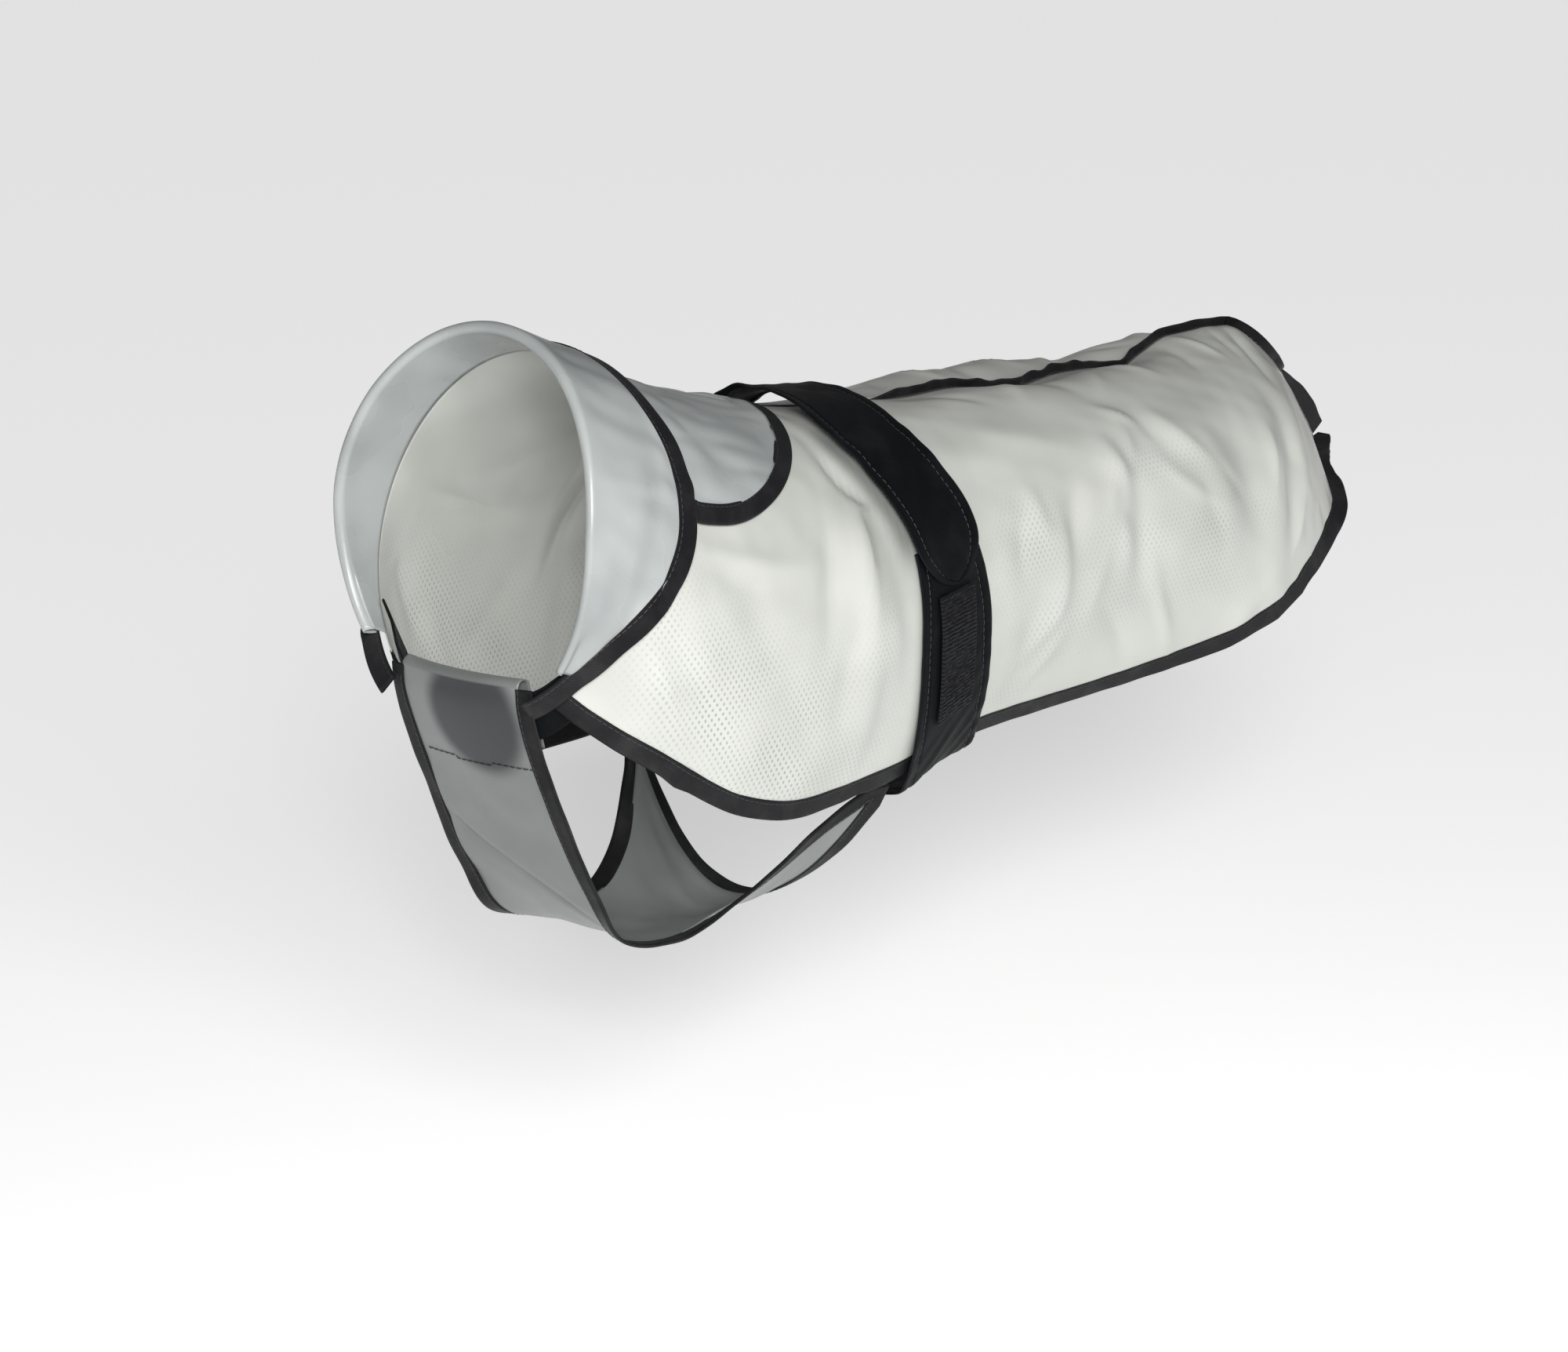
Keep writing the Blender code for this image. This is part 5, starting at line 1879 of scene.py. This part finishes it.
    def loop_strip(self) -> Pieces:
        """Makes the ribbed strip of loops that is sewn on the belly strap.

        Returns:
            The strip, in a list.
        """
        angle = np.linspace(*self.loop_span, 170)
        width = np.full(angle.shape, self.loop_width)
        points, normals = self.strap(BELLY_STRAP, angle, 36, width, WEBBING + SEAM_GAP)
        walked = np.mean(travelled(points), 1)[:, None]
        side = np.linspace(-0.5, 0.5, points.shape[1])[None, :]
        from_ends = np.minimum(walked, walked[-1] - walked)
        inset = np.minimum((0.5 - np.abs(side)) * self.loop_width, from_ends)
        across = side * self.loop_width
        at = walked + self.loop_wobble.over(walked, across)
        ribs = np.sin(2 * math.pi * at / self.loop_pitch)
        height = ribs * 0.00018 + self.loop_fuzz.over(walked, across)
        height = height * fade(inset, 0.0014, 0.001)
        wall = WEBBING * rounded(inset, 0.0006, 0.02)
        middle = points + normals * (WEBBING / 2 + height)[..., None]
        strip = Cloth("belt_loops", middle, grid_normals(middle, normals), wall).build()
        dress(strip, self.wardrobe.pile, Slot.PILE, "belt_loop_strip")
        return [strip]

    def build(self) -> Pieces:
        """Returns all the pieces of the belt."""
        return [*self.back_strap(), *self.belly_strap(), *self.loop_strip()]


# ---- Chest panel ---------------------------------------------------------------------------------
@dataclass
class ChestPanel:
    """Film from the throat down the chest to the belt, with the strap in its tunnel."""

    wardrobe: Wardrobe
    cut: tuple = (0.168, 0.300)
    cut_area: float = 0.0285
    across: int = 60
    seam_row: float = 2.06
    tape_width: float = 0.0075
    strap_width: float = 0.024
    tab: tuple = (0.052, 0.0415)  # width and length
    tab_place: tuple = (-0.0085, -0.0960)
    tab_depth: float = 0.0014
    tab_shade: tuple = (-0.109, 0.030, 0.032)  # height of its middle, and its half sizes
    shade: float = 0.93  # painted shade of the tab behind it: how dark the film is over the tab
    haze: float = 0.87
    inner_haze: float = 0.8  # of the tunnel's inner ply
    inner_lean: float = 0.010  # how far back the inner ply leans
    half_width: float = 0.038
    row_pitch: float = 0.034  # turns a row number into metres
    crease_from: tuple = (0.036, 3.05)  # metres across, and row number
    crease_to: tuple = (-0.032, 4.75)
    swells: Drift = Drift(0.05, 113, 0.0006)
    crinkle: Drift = Drift(0.02, 117, 0.00012)

    @staticmethod
    def row(at: Array) -> dict[str, Array]:
        """Returns each column of the panel's table, a row for each row number."""
        return {name: CHEST_ROWS.at(name, at)[:, None] for name in ChestRow._fields}

    @staticmethod
    def bowed(row: dict[str, Array], bow: Array) -> tuple[Array, Array]:
        """Returns x and z across rows, from their middle, at 0, to their edge, at 1."""
        x = row["mid_x"] + (row["edge_x"] - row["mid_x"]) * bow
        return x, row["mid_z"] + (row["edge_z"] - row["mid_z"]) * bow

    def outer(self, rows: int) -> tuple:
        """Lays out the outer ply.

        Args:
            rows: how many rows.

        Returns:
            Points, the rows' numbers and the places across, from -1 to 1.
        """
        at = np.linspace(0, CHEST_ROWS.last, rows)
        side = np.linspace(-1, 1, self.across)[None, :]
        row = self.row(at)
        x, z = self.bowed(row, side**2)
        return np.stack([x, row["edge_y"] * side, z], -1), at[:, None], side

    def relief(self, at: Array, side: Array) -> Array:
        """Works out the diagonal crease and the slack of the film below the tunnel.

        Args:
            at: row numbers.
            side: places across, from -1 to 1.

        Returns:
            Height at each point.
        """
        x, y = side * self.half_width, at * self.row_pitch
        start, end = (
            np.array([across, row * self.row_pitch])
            for across, row in (self.crease_from, self.crease_to)
        )
        run = (end - start) / np.linalg.norm(end - start)
        along = (x - start[0]) * run[0] + (y - start[1]) * run[1]
        off = (x - start[0]) * -run[1] + (y - start[1]) * run[0]
        length = np.linalg.norm(end - start)
        reach = fade(along, -0.006, 0.02) * fade(along, length + 0.012, -0.03)
        crease = -0.0016 * bell(off, 0.0032) + 0.0018 * bell(off - 0.009, 0.008)
        slack = self.swells.over(x, y) + self.crinkle.over(x, y)
        return (crease * reach + slack) * fade(at, self.seam_row, 0.4)

    def film(self) -> tuple:
        """Makes the film with its tunnel.

        Returns:
            The piece, points of its outer ply and their normals.
        """
        outer, at, side = self.outer(250)
        normals = grid_normals(outer, np.array([-1.0, 0.0, -0.6]))
        raised = outer + normals * self.relief(at, side)[..., None]
        inward = np.array([TUNNEL_DEPTH, 0.0, 0.0])
        down = np.array([self.inner_lean, 0.0, -TUNNEL_LENGTH])
        drop = np.linspace(1, 0, 24)[:-1, None, None] * down
        inner = outer[:1] + inward + drop
        turn = np.linspace(0, math.pi, 13)[:-1, None, None]
        around = np.concatenate([np.cos(turn), 0 * turn, np.sin(turn)], -1) * TUNNEL_DEPTH / 2
        fold = outer[:1] + inward / 2 + around
        grid = np.concatenate([inner, fold, raised])
        # Painted shade: the film is darkened over the tab that hangs behind it.
        height, half_y, half_z = self.tab_shade
        aside = (raised[..., 1] - self.tab_place[0]) / half_y
        over_tab = fade(np.hypot(aside, (raised[..., 2] - height) / half_z), 1.1, -0.35)
        behind = np.zeros((len(inner) + len(fold), self.across))
        haze = np.concatenate([behind + self.inner_haze, np.full(over_tab.shape, self.haze)])
        shade = np.concatenate([behind, self.shade * over_tab])
        toward = np.concatenate([0 * inner + inward, fold - (outer[:1] + inward / 2), normals])
        facing, marks = grid_normals(grid, toward), film_marks(haze, shade=shade)
        piece = Cloth("chest_film", grid, facing, FILM_WALL, marks=marks).build()
        dress(piece, self.wardrobe.chest_film, Slot.FILM, "chest_panel")
        return piece, outer, normals

    def seam(self, outer: Array, normals: Array) -> Piece:
        """Sews the tunnel shut across the outer ply.

        Args:
            outer: points of the ply.
            normals: their normals.

        Returns:
            The stitches.
        """
        rows = len(outer) - 1
        row = int(round(self.seam_row / CHEST_ROWS.last * rows))
        sag = np.round(1.6 * np.cos(np.linspace(-1.2, 1.2, self.across))).astype(int)
        columns = np.arange(self.across)
        path = outer[row + sag, columns] + normals[row + sag, columns] * 0.00055
        stitches = Stitches(0.0040, 0.0031, 0.00034)
        thread = stitches.build("tunnel_stitches", path, normals[row, columns])
        dress(thread, self.wardrobe.thread, Slot.FILM)
        return thread

    def behind(self, y: Array, z: Array, depth: Array | float) -> Array:
        """Finds points behind the outer ply.

        Args:
            y: places across.
            z: heights.
            depth: how far behind.

        Returns:
            The points.
        """
        row = self.row(np.linspace(0, 4, 65))
        reach, height = self.bowed(row, (y.ravel() / row["edge_y"]) ** 2)
        x = [np.interp(-at_z, -up, out) for at_z, up, out in zip(z.ravel(), height.T, reach.T)]
        return np.stack([np.array(x).reshape(y.shape) + depth, y, z], -1)

    def strap(self) -> Piece:
        """Makes the hook-and-loop strap through the tunnel.

        Returns:
            The strap.
        """
        at = np.linspace(0, NECK_STRAP.last, 150)[:, None]
        down = np.linspace(0, 1, 22)[None, :]
        top, low = NECK_STRAP.at("top_depth", at), NECK_STRAP.at("low_depth", at)
        height = self.strap_width * np.cos(np.arctan2(low - top, self.strap_width))
        z = NECK_STRAP.at("z", at) + height * (0.5 - down)
        grid = self.behind(NECK_STRAP.at("y", at) + 0 * down, z, top + (low - top) * down)
        inset = np.minimum(down, 1 - down) * self.strap_width + 0 * at
        wall = WEBBING * rounded(inset, 0.0007, 0.02)
        piece = Cloth("neck_strap_webbing", grid, grid_normals(grid, FORWARD), wall).build()
        dress(piece, self.wardrobe.nylon, Slot.NYLON, "neck_strap")
        return piece

    def closure_tab(self) -> Piece:
        """Makes the rounded tab that hangs in the tunnel in front of the strap.

        Returns:
            The tab.
        """
        width, length = self.tab
        turn = np.radians(np.linspace(20, 90, 30))
        tip = 1 - 0.6 * np.cos(turn)
        down = np.concatenate([np.linspace(0, tip[0], 12)[:-1], tip])
        spread = width * rounded((1 - down) * length, width / 2, 0.02)
        y = self.tab_place[0] + spread[:, None] * np.linspace(-0.5, 0.5, 30)[None, :]
        z = self.tab_place[1] - down[:, None] * length + 0 * y
        grid = self.behind(y, z, self.tab_depth)
        piece = Cloth("neck_tab_cloth", grid, grid_normals(grid, FORWARD), WEBBING).build()
        dress(piece, self.wardrobe.nylon, Slot.PILE, "neck_tab")
        return piece

    def build(self) -> Pieces:
        """Makes the panel and what it holds.

        Returns:
            The pieces.
        """
        film, outer, normals = self.film()
        tape = FoldedTape("chest_tape", "chest_binding", self.wardrobe, self.tape_width, seed=127)
        tapes = tape.bind(outer, normals)
        thread = self.seam(outer, normals)
        strap, tab = self.strap(), self.closure_tab()
        held = [*tapes, thread]
        return [film, *held, strap, tab]


# ---- The view ------------------------------------------------------------------------------------
@dataclass(frozen=True)
class PhotoView:
    """The camera at the photograph's angle, aimed so that the mount lies where it does there."""

    azimuth: float = -49.0
    elevation: float = 14.0
    focal: float = 6500.0  # in pixels of the picture
    distance: float = 2.6
    mount_pixel: tuple = (1110.0, 505.0)
    picture: tuple = (2000.0, 1724.0)
    sensor: float = 36.0

    def build(self) -> Piece:
        """Places the camera and makes it the scene's.

        Returns:
            The camera.
        """
        turn, rise = math.radians(self.azimuth), math.radians(self.elevation)
        level = math.cos(rise)
        back = np.array([math.sin(turn) * level, -math.cos(turn) * level, math.sin(rise)])
        right = unit(np.cross(-back, [0.0, 0.0, 1.0]))
        up = np.cross(back, right)
        aside = (self.mount_pixel[0] - self.picture[0] / 2) / self.focal
        above = (self.mount_pixel[1] - self.picture[1] / 2) / self.focal
        eye = -self.distance * (-back + aside * right - above * up)
        lens = bpy.data.cameras.new("photo_view")
        lens.sensor_width = self.sensor
        lens.lens = self.focal / self.picture[0] * self.sensor
        lens.clip_start, lens.clip_end = 0.05, 60.0
        camera = add_object("photo_view", lens)
        aim(camera, right, back, eye)
        bpy.context.scene.camera = camera
        return camera


class Lamp(NamedTuple):
    """A soft box: place, what it points at, size and power."""

    name: str
    place: tuple
    target: tuple
    size: float
    power: float


@dataclass(frozen=True)
class Studio:
    """A plain pale floor and soft light from the upper left, with two soft boxes."""

    floor_z: float = -0.368
    floor_half: float = 14.0
    key_from: tuple = (-1.74, -1.58, 0.86)
    key_power: float = 1.95
    key_angle: float = 16.0
    world: float = 0.15
    glow: float = 0.42  # the floor's own light, as on a lit table
    lamps: tuple = (
        Lamp("front_soft_box", (-0.95, -1.15, 0.45), (-0.16, -0.08, -0.08), 0.8, 15.5),
        Lamp("rear_soft_box", (1.9, -0.9, 1.1), (0.05, 0.0, -0.1), 0.9, 0.6),
    )

    def floor(self) -> Piece:
        """Makes the floor.

        Returns:
            The floor.
        """
        half = self.floor_half
        corners = [(-half, -half, 0), (half, -half, 0), (half, half, 0), (-half, half, 0)]
        mesh = bpy.data.meshes.new("studio_floor")
        mesh.from_pydata(corners, [], [(0, 1, 2, 3)])
        floor = add_object("studio_floor", mesh)
        floor.location.z = self.floor_z
        made, wire, shader = new_finish("studio_floor")
        inputs = {"Base Color": (0.93, 0.93, 0.93, 1.0), "Roughness": 0.9}
        inputs |= {"Emission Color": (1.0, 1.0, 1.0, 1.0), "Emission Strength": self.glow}
        wire.fill(shader, inputs)
        mesh.materials.append(made)
        return floor

    @staticmethod
    def hang(name: str, light: bpy.types.Light, place: tuple, target: tuple) -> None:
        """Puts a light in the scene.

        Args:
            name: its name.
            light: the light.
            place: where it hangs.
            target: what it points at.
        """
        back = unit(np.array(place) - np.array(target))
        right = unit(np.cross([0.0, 0.001, 1.0], back))
        aim(add_object(name, light), right, back, np.array(place))

    def build(self) -> None:
        """Sets the floor, the lights and the soft light all round."""
        self.floor()
        key = bpy.data.lights.new("key_light", "SUN")
        key.energy, key.angle = self.key_power, math.radians(self.key_angle)
        self.hang("key_light", key, self.key_from, (0.0, 0.0, 0.0))
        for lamp in self.lamps:
            light = bpy.data.lights.new(lamp.name, "AREA")
            light.shape, light.size, light.energy = "DISK", lamp.size, lamp.power
            self.hang(lamp.name, light, lamp.place, lamp.target)
        world = bpy.data.worlds.new("studio")
        world.use_nodes = True
        background = world.node_tree.nodes["Background"]
        inputs = {"Color": (1.0, 1.0, 1.0, 1.0), "Strength": self.world}
        Wiring(world.node_tree).fill(background, inputs)
        bpy.context.scene.world = world
        bpy.context.scene.view_settings.view_transform = "Standard"


def main() -> None:
    """Builds the coat piece by piece, then the view and the studio."""
    logging.basicConfig(level=logging.INFO, format="%(message)s")
    wardrobe = Wardrobe()
    left = SidePanel("left", 1, wardrobe, LEFT_CREASES, LEFT_HEM_KINKS)
    right = SidePanel("right", -1, wardrobe, RIGHT_CREASES, RIGHT_HEM_KINKS)
    pieces = SeamTapes(wardrobe, (left, right)).build()
    others = (Belt(wardrobe), ChestPanel(wardrobe), Collar(wardrobe), NapeFlap(wardrobe))
    for assembly in (left, right, *others):
        pieces += assembly.build()
    LOG.info("%d pieces", len(pieces))
    PhotoView().build()
    Studio().build()


if __name__ == "__main__":
    main()
